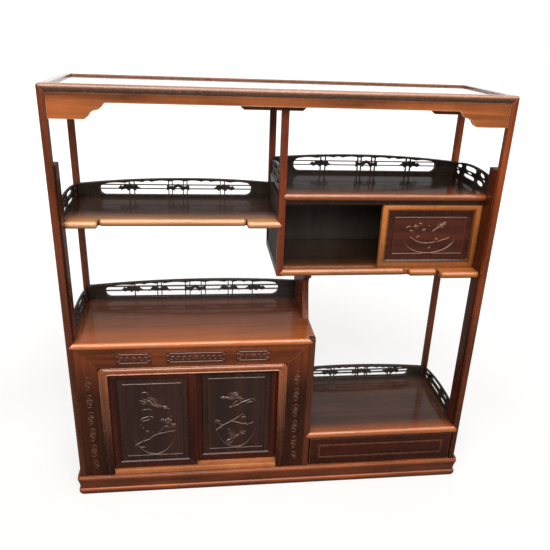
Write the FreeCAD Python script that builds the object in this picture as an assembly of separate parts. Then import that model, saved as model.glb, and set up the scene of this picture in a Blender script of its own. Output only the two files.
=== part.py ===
import FreeCAD, Part
import math
import os

os.makedirs("parts", exist_ok=True)
V = FreeCAD.Vector

# A hardwood display cabinet of stepped shelves, in millimetres.
# X runs along the width, Y from the front (low) to the back (high), Z is up.
# The origin is the middle of the footprint on the floor.

# Overall frame
frame_width = 950.0
frame_depth = 270.0
overall_height = 960.0
post_side = 15.0
post_round = 5.0
edge_round = 1.5
running_gap = 0.3

# Heights of the main bays, from the floor up and from the top frame down
plinth_height = 54.0
drawer_unit_height = 99.5
upper_right_bay_height = 199.0
box_inner_height = 158.0
under_box_height = 140.0
lower_left_bay_height = 251.5
stile_rise = 61.0

# Widths and depths of the main parts
middle_post_centre = 0.0
cabinet_width = 560.0
shelf_setback = 41.0
box_opening_width = 219.5

# Plinth
plinth_side_overhang = 8.0
plinth_front_overhang = 5.0
plinth_rail_width = 28.0
plinth_foot_height = 6.0
plinth_foot_round = 4.0
plinth_lower_bead = 13.0
plinth_cove_height = 28.0
plinth_bead_relief = 1.5
plinth_cove_lip = 3.0
plinth_cove_depth = 8.0
base_board_thickness = 12.0
base_board_lap = 6.0

# Top frame
top_rail_width = 20.0
top_rail_height = 15.0
top_rail_under_round = 3.0
top_panel_thickness = 8.0
top_panel_drop = 4.0
top_panel_tongue = 5.0
batten_width = 15.0
batten_height = 13.0

# Aprons under the top frame
apron_thickness = 10.0
apron_setback = 3.0
apron_height = 18.0
spandrel_curve = 42.0
spandrel_height = 49.0
spandrel_length = 67.0
back_spandrel_height = 54.0
back_spandrel_length = 62.0
side_spandrel_length = 32.0
ogee_length_shares = (0.0, 0.14, 0.29, 0.40, 0.65, 0.76, 0.93, 1.0)
ogee_height_shares = (0.0, 0.12, 0.39, 0.49, 0.58, 0.68, 0.97, 1.0)

# Side stiles behind the front posts
stile_thickness = 18.0
stile_depth = 31.0

# Shelves
shelf_thickness = 16.0
drawer_unit_top_thickness = 18.0
shelf_nose = 4.0
nose_round = 7.0
nose_end_chamfer = 3.0
board_inset = 2.0
tip_depth = 5.0
shelf_step = 18.0
left_step_length = 65.0
right_step_length = 67.0
left_step_gap = 3.0
right_step_gap = 2.5
box_first_gap = 10.0
box_second_length = 65.0
box_second_gap = 5.0
box_second_step = 8.0
box_third_length = 87.5

# Panels that close the sides and backs
side_panel_thickness = 10.0
back_panel_thickness = 8.0
back_panel_inset = 3.0
partition_thickness = 12.0

# Back galleries
gallery_thickness = 10.0
gallery_foot_rail = 6.5
gallery_top_rail = 4.5
gallery_cusp = 2.5
upper_gallery_outer_height = 32.5
upper_gallery_middle_height = 46.0
upper_gallery_inner_height = 38.5
upper_gallery_outer_margin = 52.0
upper_gallery_inner_margin = 46.0
cabinet_gallery_outer_height = 37.0
cabinet_gallery_middle_height = 51.5
cabinet_gallery_inner_height = 45.0
cabinet_gallery_margin = 44.5
unit_gallery_outer_height = 33.0
unit_gallery_middle_height = 44.0
unit_gallery_inner_height = 38.0
unit_gallery_margin = 49.5
fret_thickness = 6.0
fret_bar = 1.8
fret_upright = 2.4
motif_length = 54.0
motif_height = 17.0

# Side galleries
side_gallery_thickness = 7.0
side_gallery_inset = 3.0
side_gallery_front_height = 39.0
side_gallery_middle_height = 46.0
side_gallery_back_height = 31.0

# Places along a back gallery's opening
fret_bar_shares = (0.40, 0.67)
three_cusp_shares = (0.16, 0.275, 0.335, 0.455, 0.555, 0.665, 0.725, 0.855)
five_cusp_shares = (0.155, 0.22, 0.285, 0.335, 0.455, 0.565, 0.68, 0.735, 0.795, 0.85)
three_upright_shares = (0.188, 0.22, 0.446, 0.47, 0.543, 0.568, 0.79, 0.82)
five_upright_shares = (0.165, 0.293, 0.317, 0.454, 0.48, 0.545, 0.57, 0.703, 0.728, 0.846)

# Motif outlines: along and up as shares of the motif's length and height
bat_shares = ((-0.50, -0.10), (-0.40, 0.22), (-0.30, 0.08), (-0.22, 0.46), (-0.08, 0.30),
              (0.04, 0.50), (0.14, 0.22), (0.30, 0.40), (0.36, 0.05), (0.50, -0.20),
              (0.34, -0.16), (0.26, -0.46), (0.08, -0.22), (-0.06, -0.50), (-0.18, -0.20),
              (-0.36, -0.40))
chevron_shares = ((-0.50, -0.45), (-0.50, 0.30), (-0.36, 0.16), (-0.22, 0.12), (-0.10, 0.38), (0.00, 0.50),
                  (0.10, 0.38), (0.22, 0.12), (0.36, 0.16), (0.50, 0.30), (0.50, -0.45), (0.36, -0.22),
                  (0.16, -0.45), (0.10, -0.05), (0.00, 0.10), (-0.10, -0.05), (-0.16, -0.45), (-0.36, -0.22))
peak_shares = ((-0.50, -0.45), (-0.40, 0.05), (-0.28, 0.50), (-0.12, 0.22), (0.00, 0.02), (0.12, 0.22),
               (0.28, 0.50), (0.40, 0.05), (0.50, -0.45), (0.34, -0.12), (0.22, -0.34), (0.00, -0.24),
               (-0.22, -0.34), (-0.34, -0.12))
three_motif_shares = ((0.19, bat_shares), (0.508, chevron_shares), (0.815, bat_shares))
five_motif_shares = ((0.152, bat_shares), (0.305, peak_shares), (0.51, chevron_shares),
                     (0.708, peak_shares), (0.862, bat_shares))

# Openings through a side gallery: centre along, centre up, half length and half height
side_opening_shares = ((0.505, 0.64, 0.125, 0.140), (0.500, 0.38, 0.060, 0.054), (0.505, 0.18, 0.125, 0.085),
                       (0.240, 0.64, 0.048, 0.110), (0.195, 0.43, 0.024, 0.045), (0.240, 0.21, 0.060, 0.110),
                       (0.765, 0.59, 0.052, 0.090), (0.805, 0.41, 0.024, 0.045), (0.770, 0.20, 0.060, 0.105))
corner_cut_share = 0.6

# Face of the low cabinet
face_thickness = 14.0
face_inset = 1.0
face_member = 48.0
arch_moulding_width = 20.0
arch_moulding_thickness = 10.0
arch_moulding_proud = 2.0
arch_moulding_round = 3.0
sill_height = 12.0
track_rib = 2.0
track_back_lip = 4.0
sill_groove = 3.0
head_groove = 5.3

# Sliding doors
door_thickness = 12.0
door_stile = 21.0
door_rail = 22.0
door_hidden_edge = 4.0
door_overlap = 6.0
door_bevel = 2.5
door_panel_recess = 4.0
door_panel_thickness = 5.0
door_panel_tongue = 4.0
door_field_margin = 12.0
door_field_proud = 1.5
box_door_stile = 17.5
box_door_setback = 6.0
box_head_height = 9.0
box_head_depth = 20.0
box_head_setback = 3.0

# Upright board between the low cabinet and the box
upright_thickness = 15.0
upright_foot_depth = 162.0
upright_waist_depth = 133.0
upright_bow = 2.0
upright_bracket_depth = 163.0
upright_bracket_height = 31.0
upright_flare_height = 25.0
flare_depth_share = 0.25
flare_height_share = 0.62

# Drawer
drawer_front_thickness = 13.0
drawer_front_inset = 1.5
drawer_front_lift = 1.5
drawer_front_drop = 3.0
drawer_guide_thickness = 3.0
drawer_guide_height = 20.0
drawer_side_gap = 0.5
drawer_side_thickness = 9.0
drawer_side_drop = 12.0
drawer_back_clearance = 12.0
drawer_bottom_thickness = 5.0
drawer_bottom_tongue = 4.0
drawer_bottom_lift = 6.0
drawer_bead_width = 4.0
drawer_bead_proud = 1.5
drawer_bead_side_margin = 22.0
drawer_bead_margin = 19.0

# Derived planes
left_x = -frame_width / 2
right_x = frame_width / 2
front_y = (plinth_front_overhang - frame_depth) / 2
back_y = front_y + frame_depth
post_back_y = front_y + post_side
stile_back_y = post_back_y + stile_depth
shelf_front_y = front_y + shelf_setback
back_post_y = back_y - post_side
post_x = right_x - post_side
stile_x = right_x - stile_thickness
cabinet_x = left_x + cabinet_width
corner_post_x = cabinet_x - post_side
middle_left_x = middle_post_centre - post_side / 2
middle_right_x = middle_post_centre + post_side / 2
middle_panel_x = (middle_post_centre - side_panel_thickness / 2, middle_post_centre + side_panel_thickness / 2)
rail_base = overall_height - top_rail_height
right_shelf_top = rail_base - upper_right_bay_height
right_shelf_base = right_shelf_top - shelf_thickness
box_floor = right_shelf_base - box_inner_height
box_floor_base = box_floor - shelf_thickness
cabinet_top = box_floor_base - under_box_height
cabinet_top_base = cabinet_top - shelf_thickness
left_shelf_top = cabinet_top + lower_left_bay_height + shelf_thickness
stile_top = right_shelf_top + stile_rise
drawer_unit_top = plinth_height + drawer_unit_height
drawer_unit_base = drawer_unit_top - drawer_unit_top_thickness
top_panel_base = overall_height - top_panel_drop - top_panel_thickness
batten_base = top_panel_base - batten_height
board_x = right_x - board_inset
board_back_y = back_y - board_inset
panel_back_y = back_y - back_panel_inset
panel_front_y = panel_back_y - back_panel_thickness
gallery_x = post_x + side_gallery_inset


def at(plane, across, up, deep):
    """A point from its place in a drawing plane and its place along the normal."""
    if plane == "xz":
        return V(across, deep, up)
    if plane == "yz":
        return V(deep, across, up)
    return V(across, up, deep)


def block(x, y, z):
    """A box between pairs of low and high coordinates."""
    return Part.makeBox(x[1] - x[0], y[1] - y[0], z[1] - z[0], V(x[0], y[0], z[0]))


def plate(plane, start, steps, low, high):
    """A plate with an outline drawn in a plane, from low to high along the normal.

    A step is (end,) for a straight line or (middle, end) for an arc."""
    edges = []
    here = start
    for step in steps:
        a = at(plane, here[0], here[1], low)
        b = at(plane, step[-1][0], step[-1][1], low)
        if len(step) == 2:
            middle = at(plane, step[0][0], step[0][1], low)
            edges.append(Part.Arc(a, middle, b).toShape())
        else:
            edges.append(Part.LineSegment(a, b).toShape())
        here = step[-1]
    return Part.Face(Part.Wire(edges)).extrude(at(plane, 0, 0, high - low))


def polygon_plate(plane, points, low, high):
    """A plate with a straight-sided outline."""
    steps = [(point,) for point in points[1:]] + [(points[0],)]
    return plate(plane, points[0], steps, low, high)


def lies_on(edge, planes):
    """Whether an edge lies on all the given coordinate planes."""
    slack = running_gap / 10
    ends = [vertex.Point for vertex in edge.Vertexes]
    return all(abs(getattr(end, axis) - place) < slack for end in ends for axis, place in planes.items())


def rounded(shape, radius, *groups):
    """The shape with the edges on each group of planes rounded."""
    edges = [edge for edge in shape.Edges if any(lies_on(edge, planes) for planes in groups)]
    return shape.makeFillet(radius, edges)


def joined(*shapes):
    """Shapes glued into one solid, with their split faces joined."""
    whole = shapes[0].fuse(list(shapes[1:])).removeSplitter()
    return whole.Solids[0] if len(whole.Solids) == 1 else whole


def mirrored(shape):
    """The same piece on the other side of the middle plane."""
    return shape.mirror(V(0, 0, 0), V(1, 0, 0))


def save(name, *solids):
    """Write one node and print its solids and volume."""
    shape = Part.makeCompound(list(solids)) if len(solids) > 1 else solids[0]
    valid = all(solid.isValid() and solid.Volume > 0 for solid in shape.Solids)
    print(name, "solids", len(shape.Solids), "valid", valid, "volume", round(shape.Volume))
    shape.exportStep("parts/" + name + ".step")


# Columns that the boards are notched round
left_front_column = block((left_x, -post_x), (front_y, post_back_y), (plinth_height, overall_height))
left_back_column = block((left_x, -post_x), (back_post_y, back_y), (plinth_height, overall_height))
left_stile_column = block((left_x, -stile_x), (post_back_y, stile_back_y), (plinth_height, stile_top))
left_columns = [left_front_column, left_back_column, left_stile_column]
right_columns = [mirrored(column) for column in left_columns]
middle_front_column = block((middle_left_x, middle_right_x), (shelf_front_y, shelf_front_y + post_side),
                            (box_floor_base, batten_base))
middle_back_column = block((middle_left_x, middle_right_x), (back_post_y, back_y), (box_floor_base, rail_base))
middle_columns = [middle_front_column, middle_back_column]
corner_column = block((corner_post_x, cabinet_x), (front_y, post_back_y), (plinth_height, cabinet_top))


# Top frame: the corner of each post, front rail and side rail meet in a three-way mitre
envelope = rounded(block((left_x, right_x), (front_y, back_y), (plinth_height, overall_height)), post_round,
                   {"x": left_x, "y": front_y}, {"x": right_x, "y": front_y},
                   {"x": left_x, "y": back_y}, {"x": right_x, "y": back_y},
                   {"x": left_x, "z": overall_height}, {"x": right_x, "z": overall_height},
                   {"y": front_y, "z": overall_height}, {"y": back_y, "z": overall_height})


def pointed_column(column, outer_y, inner_y):
    """A left post cut to a point at its outer top corner."""
    low = overall_height - post_side
    side = [(left_x, overall_height), (-post_x, overall_height), (-post_x, low)]
    deep = [(outer_y, overall_height), (inner_y, overall_height), (inner_y, low)]
    side_cut = polygon_plate("xz", side, min(outer_y, inner_y), max(outer_y, inner_y))
    deep_cut = polygon_plate("yz", deep, left_x, -post_x)
    return column.cut(side_cut).cut(deep_cut)


def left_post(column, outer_y, inner_y):
    """A corner post with its arrises rounded."""
    eased = rounded(column, edge_round, {"x": -post_x, "y": outer_y}, {"x": left_x, "y": inner_y})
    return pointed_column(eased, outer_y, inner_y).common(envelope).Solids[0]


left_front_point = pointed_column(left_front_column, front_y, post_back_y)
left_back_point = pointed_column(left_back_column, back_y, back_post_y)
post_points = [left_front_point, left_back_point, mirrored(left_front_point), mirrored(left_back_point)]

panel_edge = top_rail_width - top_panel_tongue
top_panel = block((left_x + panel_edge, right_x - panel_edge), (front_y + panel_edge, back_y - panel_edge),
                  (top_panel_base, top_panel_base + top_panel_thickness))


def top_rail(x, y, outer, corners):
    """A rail of the top frame, rounded under its outer face, mitred in plan and grooved for the panel."""
    lower_edge = {**outer, "z": rail_base}
    rail = rounded(block(x, y, (rail_base, overall_height)), top_rail_under_round, lower_edge).common(envelope)
    for corner in corners:
        rail = rail.cut(polygon_plate("xy", corner, rail_base, overall_height))
    return rail.cut(post_points + [top_panel]).Solids[0]


inner_left_x = left_x + top_rail_width
inner_front_y = front_y + top_rail_width
inner_back_y = back_y - top_rail_width
top_front_rail = top_rail((left_x, right_x), (front_y, inner_front_y), {"y": front_y},
                          [[(left_x, front_y), (left_x, inner_front_y), (inner_left_x, inner_front_y)],
                           [(right_x, front_y), (right_x, inner_front_y), (-inner_left_x, inner_front_y)]])
top_back_rail = top_rail((left_x, right_x), (inner_back_y, back_y), {"y": back_y},
                         [[(left_x, back_y), (left_x, inner_back_y), (inner_left_x, inner_back_y)],
                          [(right_x, back_y), (right_x, inner_back_y), (-inner_left_x, inner_back_y)]])
top_left_rail = top_rail((left_x, inner_left_x), (front_y, back_y), {"x": left_x},
                         [[(left_x, front_y), (inner_left_x, front_y), (inner_left_x, inner_front_y)],
                          [(left_x, back_y), (inner_left_x, back_y), (inner_left_x, inner_back_y)]])

# Aprons with an ogee spandrel at each end
front_apron_y = front_y + apron_setback
back_apron_y = back_y - apron_setback
batten_x = (middle_post_centre - batten_width / 2, middle_post_centre + batten_width / 2)
top_cross_batten = joined(block(batten_x, (inner_front_y, inner_back_y), (batten_base, top_panel_base)),
                          block(batten_x, (front_apron_y + apron_thickness, back_post_y),
                                (batten_base, rail_base)))


def ogee_points(corner, inward, bottom, top):
    """Points from the end of a spandrel's foot up to the apron's straight lower edge."""
    return [(corner + inward * along * spandrel_curve, bottom + up * (top - bottom))
            for along, up in zip(ogee_length_shares, ogee_height_shares)]


def apron(plane, low, high, flat, height, front, back):
    """An apron from its lower left corner round both spandrels."""
    bottom = rail_base - height
    edge = rail_base - apron_height
    a = ogee_points(low + flat, 1, bottom, edge)
    b = ogee_points(high - flat, -1, bottom, edge)
    steps = [(a[0],), (a[1], a[2]), (a[3], a[4]), (a[5], a[6]), (a[7],),
             (b[7],), (b[6],), (b[5], b[4]), (b[3], b[2]), (b[1], b[0]),
             ((high, bottom),), ((high, rail_base),), ((low, rail_base),), ((low, bottom),)]
    return plate(plane, (low, bottom), steps, front, back)


front_apron = apron("xz", -post_x, post_x, spandrel_length, spandrel_height,
                    front_apron_y, front_apron_y + apron_thickness)
back_apron = apron("xz", -post_x, middle_left_x, back_spandrel_length, back_spandrel_height,
                   back_apron_y - apron_thickness, back_apron_y)
left_apron_x = left_x + apron_setback
left_apron = apron("yz", post_back_y, back_post_y, side_spandrel_length, spandrel_height,
                   left_apron_x, left_apron_x + apron_thickness)


# Boards with a round nose and pointed shoulders let into the posts
def nosed_bar(low, high, front, back, top, thickness, free_ends=()):
    """A bar with a round nose in front and chamfered free ends."""
    nose = front - shelf_nose
    base = top - thickness
    bar = rounded(block((low, high), (nose, back), (base, top)), nose_round,
                  {"y": nose, "z": top}, {"y": nose, "z": base})
    for end in free_ends:
        edges = [edge for edge in bar.Edges
                 if lies_on(edge, {"x": end}) and not lies_on(edge, {"x": end, "y": back})]
        bar = bar.makeChamfer(nose_end_chamfer, edges)
    return bar


def shoulder(edge, direction, front, top, thickness):
    """The pointed end of a nosed board, from a post's edge into its face."""
    half = thickness / 2
    far = edge + direction * half
    bar = nosed_bar(min(edge, far), max(edge, far), front, front + tip_depth, top, thickness)
    outline = [(edge, top), (far, top - half), (edge, top - thickness)]
    wedge = polygon_plate("xz", outline, front - shelf_nose, front + tip_depth)
    return bar.common(wedge)


def notched_board(x, y, top, thickness, columns):
    """A flat board cut away round the posts that stand in it."""
    return block(x, y, (top - thickness, top)).cut(columns)


# Upper left shelf: its front steps forward at both ends
step_y = shelf_front_y + shelf_step
step_body_y = step_y + nose_round
step_root_y = step_body_y + nose_round
left_step_x = -stile_x + left_step_length
right_step_x = middle_left_x - right_step_length
middle_step_x = (left_step_x + left_step_gap, right_step_x - right_step_gap)
left_shelf_tip = shoulder(middle_left_x, 1, shelf_front_y, left_shelf_top, shelf_thickness)
upper_left_shelf = joined(
    notched_board((-board_x, middle_panel_x[0]), (step_body_y, board_back_y), left_shelf_top, shelf_thickness,
                  left_columns + middle_columns),
    nosed_bar(-stile_x, left_step_x, shelf_front_y, step_root_y, left_shelf_top, shelf_thickness,
              (left_step_x,)),
    nosed_bar(middle_step_x[0], middle_step_x[1], step_y, step_root_y, left_shelf_top, shelf_thickness,
              middle_step_x),
    nosed_bar(right_step_x, middle_left_x, shelf_front_y, step_root_y, left_shelf_top, shelf_thickness,
              (right_step_x,)),
    left_shelf_tip)

# Upper right shelf, which is also the top of the box
right_shelf_tip = shoulder(middle_right_x, -1, shelf_front_y, right_shelf_top, shelf_thickness)
shelf_body_y = shelf_front_y + nose_round
shelf_root_y = shelf_body_y + nose_round
upper_right_shelf = joined(
    notched_board((middle_panel_x[0], board_x), (shelf_body_y, board_back_y), right_shelf_top, shelf_thickness,
                  right_columns + middle_columns),
    nosed_bar(middle_right_x, stile_x, shelf_front_y, shelf_root_y, right_shelf_top, shelf_thickness),
    right_shelf_tip)

# Box: bottom board stepped forward twice, with a groove for the door
box_tip = shoulder(middle_right_x, -1, shelf_front_y, box_floor, shelf_thickness)
box_third_x = (stile_x - box_third_length, stile_x)
box_second_end_x = box_third_x[0] - box_second_gap
box_second_x = (box_second_end_x - box_second_length, box_second_end_x)
box_first_x = (middle_right_x, box_second_x[0] - box_first_gap)
box_span_x = (middle_right_x, stile_x)
box_door_front_y = shelf_front_y + box_door_setback
box_groove_y = (box_door_front_y - running_gap, box_door_front_y + door_thickness + running_gap)
box_bottom_board = joined(
    notched_board((middle_left_x, board_x), (shelf_body_y - shelf_nose, board_back_y), box_floor,
                  shelf_thickness, right_columns + middle_columns),
    nosed_bar(box_first_x[0], box_first_x[1], shelf_front_y, shelf_root_y, box_floor, shelf_thickness,
              (box_first_x[1],)),
    nosed_bar(box_second_x[0], box_second_x[1], shelf_front_y - box_second_step, shelf_root_y, box_floor,
              shelf_thickness, box_second_x),
    nosed_bar(box_third_x[0], box_third_x[1], post_back_y, shelf_root_y, box_floor, shelf_thickness,
              (box_third_x[0],)),
    box_tip)
box_bottom_board = box_bottom_board.cut(block(box_span_x, box_groove_y, (box_floor - sill_groove, box_floor)))

# Box: panels and the head rail that guides the door
box_left_panel = block(middle_panel_x, (shelf_front_y + post_side, back_post_y), (box_floor, right_shelf_base))
box_right_panel = block((stile_x, stile_x + side_panel_thickness), (stile_back_y, back_post_y),
                        (box_floor, right_shelf_base))
box_back_panel = block((middle_right_x, post_x), (panel_front_y, panel_back_y), (box_floor, right_shelf_base))
box_head_base = right_shelf_base - box_head_height
box_head_y = (shelf_front_y + box_head_setback, shelf_front_y + box_head_setback + box_head_depth)
box_head_rail = block(box_span_x, box_head_y, (box_head_base, right_shelf_base))
box_head_rail = box_head_rail.cut(block(box_span_x, box_groove_y, (box_head_base, box_head_base + head_groove)))


# Sliding doors: a mitred frame, bevelled inside, round a grooved-in panel with a raised field
def frame_member(outline, inner_edge, front, back):
    """One mitred member with a bevel along its inner front edge."""
    member = polygon_plate("xz", outline, front, back)
    edges = [edge for edge in member.Edges if lies_on(edge, inner_edge)]
    return member.makeChamfer(door_bevel, edges)


def door(x, z, front, stile):
    """The four frame members and the panel of a sliding door."""
    back = front + door_thickness
    ix = (x[0] + stile, x[1] - stile)
    iz = (z[0] + door_rail, z[1] - door_rail)
    panel_y = front + door_panel_recess
    panel = block((ix[0] - door_panel_tongue, ix[1] + door_panel_tongue), (panel_y, panel_y + door_panel_thickness),
                  (iz[0] - door_panel_tongue, iz[1] + door_panel_tongue))
    field = block((ix[0] + door_field_margin, ix[1] - door_field_margin), (panel_y - door_field_proud, panel_y),
                  (iz[0] + door_field_margin, iz[1] - door_field_margin))
    members = [
        frame_member([(x[0], z[0]), (ix[0], iz[0]), (ix[0], iz[1]), (x[0], z[1])], {"x": ix[0], "y": front},
                     front, back),
        frame_member([(x[1], z[0]), (ix[1], iz[0]), (ix[1], iz[1]), (x[1], z[1])], {"x": ix[1], "y": front},
                     front, back),
        frame_member([(x[0], z[0]), (x[1], z[0]), (ix[1], iz[0]), (ix[0], iz[0])], {"z": iz[0], "y": front},
                     front, back),
        frame_member([(x[0], z[1]), (x[1], z[1]), (ix[1], iz[1]), (ix[0], iz[1])], {"z": iz[1], "y": front},
                     front, back)]
    return [member.cut(panel).Solids[0] for member in members], joined(panel, field)


box_door_x = (middle_right_x + box_opening_width, stile_x - running_gap)
box_door_z = (box_floor - sill_groove + running_gap, box_head_base + head_groove - running_gap)
box_door_members, box_door_panel = door(box_door_x, box_door_z, box_door_front_y, box_door_stile)

# Low cabinet: top board, notched round its posts
cabinet_left_tip = shoulder(-post_x, -1, front_y, cabinet_top, shelf_thickness)
cabinet_right_tip = shoulder(corner_post_x, 1, front_y, cabinet_top, shelf_thickness)
cabinet_top_board = joined(
    notched_board((-board_x, cabinet_x), (front_y + nose_round, board_back_y), cabinet_top, shelf_thickness,
                  left_columns + [corner_column]),
    nosed_bar(-post_x, corner_post_x, front_y, post_back_y, cabinet_top, shelf_thickness),
    cabinet_left_tip, cabinet_right_tip)

# Low cabinet: mitred face frame
face_x = (-post_x, corner_post_x)
face_y = (front_y + face_inset, front_y + face_inset + face_thickness)
arch_x = (face_x[0] + face_member, face_x[1] - face_member)
arch_top = cabinet_top_base - face_member
face_left_points = [(face_x[0], plinth_height), (arch_x[0], plinth_height), (arch_x[0], arch_top),
                    (face_x[0], cabinet_top_base)]
face_right_points = [(face_x[1], plinth_height), (arch_x[1], plinth_height), (arch_x[1], arch_top),
                     (face_x[1], cabinet_top_base)]
face_rail_points = [(face_x[0], cabinet_top_base), (arch_x[0], arch_top), (arch_x[1], arch_top),
                    (face_x[1], cabinet_top_base)]
face_members = [polygon_plate("xz", points, face_y[0], face_y[1])
                for points in (face_left_points, face_right_points, face_rail_points)]

# Low cabinet: moulding round the three sides of the door opening
arch_y = (face_y[0] - arch_moulding_proud, face_y[0] - arch_moulding_proud + arch_moulding_thickness)
opening_x = (arch_x[0] + arch_moulding_width, arch_x[1] - arch_moulding_width)
opening_top = arch_top - arch_moulding_width


def arch_moulding():
    """A rounded moulding up one side, across the head and down the other side, mitred at the corners."""
    legs = [rounded(block(x, arch_y, (plinth_height, arch_top)), arch_moulding_round,
                    {"x": x[0], "y": arch_y[0]}, {"x": x[1], "y": arch_y[0]})
            for x in ((arch_x[0], opening_x[0]), (opening_x[1], arch_x[1]))]
    head = rounded(block(arch_x, arch_y, (opening_top, arch_top)), arch_moulding_round,
                   {"z": opening_top, "y": arch_y[0]}, {"z": arch_top, "y": arch_y[0]})
    outline = [(arch_x[0], arch_top), (opening_x[0], opening_top), (opening_x[1], opening_top),
               (arch_x[1], arch_top)]
    region = polygon_plate("xz", outline, arch_y[0], arch_y[1])
    return [leg.cut(region).Solids[0] for leg in legs] + [head.common(region).Solids[0]]


# Low cabinet: sill and head track with two grooves, and the two doors
front_groove_y = (arch_y[1], arch_y[1] + door_thickness + 2 * running_gap)
back_groove_y = (front_groove_y[1] + track_rib, front_groove_y[1] + track_rib + door_thickness + 2 * running_gap)
track_y = (arch_y[1], back_groove_y[1] + track_back_lip)
sill_top = plinth_height + sill_height
door_run_x = (opening_x[0] - door_hidden_edge, opening_x[1] + door_hidden_edge)
door_slot_x = (door_run_x[0] - running_gap, door_run_x[1] + running_gap)
sill_grooves = [block(door_slot_x, groove, (sill_top - sill_groove, sill_top))
                for groove in (front_groove_y, back_groove_y)]
head_grooves = [block(door_slot_x, groove, (opening_top, opening_top + head_groove))
                for groove in (front_groove_y, back_groove_y)]
cabinet_sill = joined(block(arch_x, track_y, (plinth_height, sill_top)),
                      block(opening_x, (face_y[0], arch_y[1]), (plinth_height, sill_top))).cut(sill_grooves)
cabinet_head_track = block(arch_x, track_y, (opening_top, arch_top)).cut(head_grooves)
door_width = (door_run_x[1] - door_run_x[0] + door_overlap) / 2
door_z = (sill_top - sill_groove + running_gap, opening_top + head_groove - running_gap)
left_door_members, left_door_panel = door((door_run_x[0], door_run_x[0] + door_width), door_z,
                                          front_groove_y[0] + running_gap, door_stile)
right_door_members, right_door_panel = door((door_run_x[1] - door_width, door_run_x[1]), door_z,
                                            back_groove_y[0] + running_gap, door_stile)

# Low cabinet: sides, back and corner post
cabinet_left_panel = block((-stile_x - side_panel_thickness, -stile_x), (stile_back_y, back_post_y),
                           (plinth_height, cabinet_top_base))
cabinet_partition = block((cabinet_x - partition_thickness, cabinet_x), (post_back_y, panel_front_y),
                          (plinth_height, cabinet_top_base))
cabinet_back_panel = block((-post_x, cabinet_x), (panel_front_y, panel_back_y), (plinth_height, cabinet_top_base))
cabinet_corner_post = rounded(corner_column, edge_round, {"x": corner_post_x, "y": front_y},
                              {"x": cabinet_x, "y": front_y})

# Drawer unit beside the low cabinet
unit_left_tip = shoulder(cabinet_x, -1, front_y, drawer_unit_top, drawer_unit_top_thickness)
unit_right_tip = shoulder(post_x, 1, front_y, drawer_unit_top, drawer_unit_top_thickness)
drawer_unit_top_board = joined(
    notched_board((cabinet_x, board_x), (front_y + nose_round, board_back_y), drawer_unit_top,
                  drawer_unit_top_thickness, right_columns),
    nosed_bar(cabinet_x, post_x, front_y, post_back_y, drawer_unit_top, drawer_unit_top_thickness),
    unit_left_tip, unit_right_tip)
drawer_unit_right_panel = block((stile_x, stile_x + side_panel_thickness), (stile_back_y, back_post_y),
                                (plinth_height, drawer_unit_base))
drawer_unit_back_panel = block((cabinet_x, post_x), (panel_front_y, panel_back_y),
                               (plinth_height, drawer_unit_base))
drawer_guide = block((cabinet_x, cabinet_x + drawer_guide_thickness), (post_back_y, panel_front_y),
                     (plinth_height, plinth_height + drawer_guide_height))

# Drawer: sides, back and a grooved-in bottom behind the front
drawer_x = (cabinet_x + drawer_guide_thickness + drawer_side_gap, stile_x - drawer_side_gap)
drawer_y = (front_y + drawer_front_inset, panel_front_y - drawer_back_clearance)
drawer_front_z = (plinth_height + drawer_front_lift, drawer_unit_base - drawer_front_drop)
drawer_base = plinth_height + running_gap
drawer_box_z = (drawer_base, drawer_front_z[1] - drawer_side_drop)
drawer_inner_x = (drawer_x[0] + drawer_side_thickness, drawer_x[1] - drawer_side_thickness)
drawer_inner_y = (drawer_y[0] + drawer_front_thickness, drawer_y[1] - drawer_side_thickness)
bottom_base = drawer_base + drawer_bottom_lift
drawer_bottom = block((drawer_inner_x[0] - drawer_bottom_tongue, drawer_inner_x[1] + drawer_bottom_tongue),
                      (drawer_inner_y[0] - drawer_bottom_tongue, drawer_inner_y[1] + drawer_bottom_tongue),
                      (bottom_base, bottom_base + drawer_bottom_thickness))
drawer_side_solids = [block(x, (drawer_inner_y[0], drawer_y[1]), drawer_box_z).cut(drawer_bottom)
                      for x in ((drawer_x[0], drawer_inner_x[0]), (drawer_inner_x[1], drawer_x[1]))]
drawer_back = block(drawer_inner_x, (drawer_inner_y[1], drawer_y[1]), drawer_box_z).cut(drawer_bottom)


def drawer_front_board():
    """The drawer's front with a rectangular bead standing proud of it."""
    board = block(drawer_x, (drawer_y[0], drawer_inner_y[0]), drawer_front_z)
    board = rounded(board, edge_round, {"y": drawer_y[0], "z": drawer_front_z[1]},
                    {"y": drawer_y[0], "z": drawer_front_z[0]})
    outer_x = (drawer_x[0] + drawer_bead_side_margin, drawer_x[1] - drawer_bead_side_margin)
    outer_z = (drawer_front_z[0] + drawer_bead_margin, drawer_front_z[1] - drawer_bead_margin)
    bead_y = (drawer_y[0] - drawer_bead_proud, drawer_y[0])
    outer = block(outer_x, bead_y, outer_z)
    inner = block((outer_x[0] + drawer_bead_width, outer_x[1] - drawer_bead_width), bead_y,
                  (outer_z[0] + drawer_bead_width, outer_z[1] - drawer_bead_width))
    return joined(board, outer.cut(inner)).cut(drawer_bottom)


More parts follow.
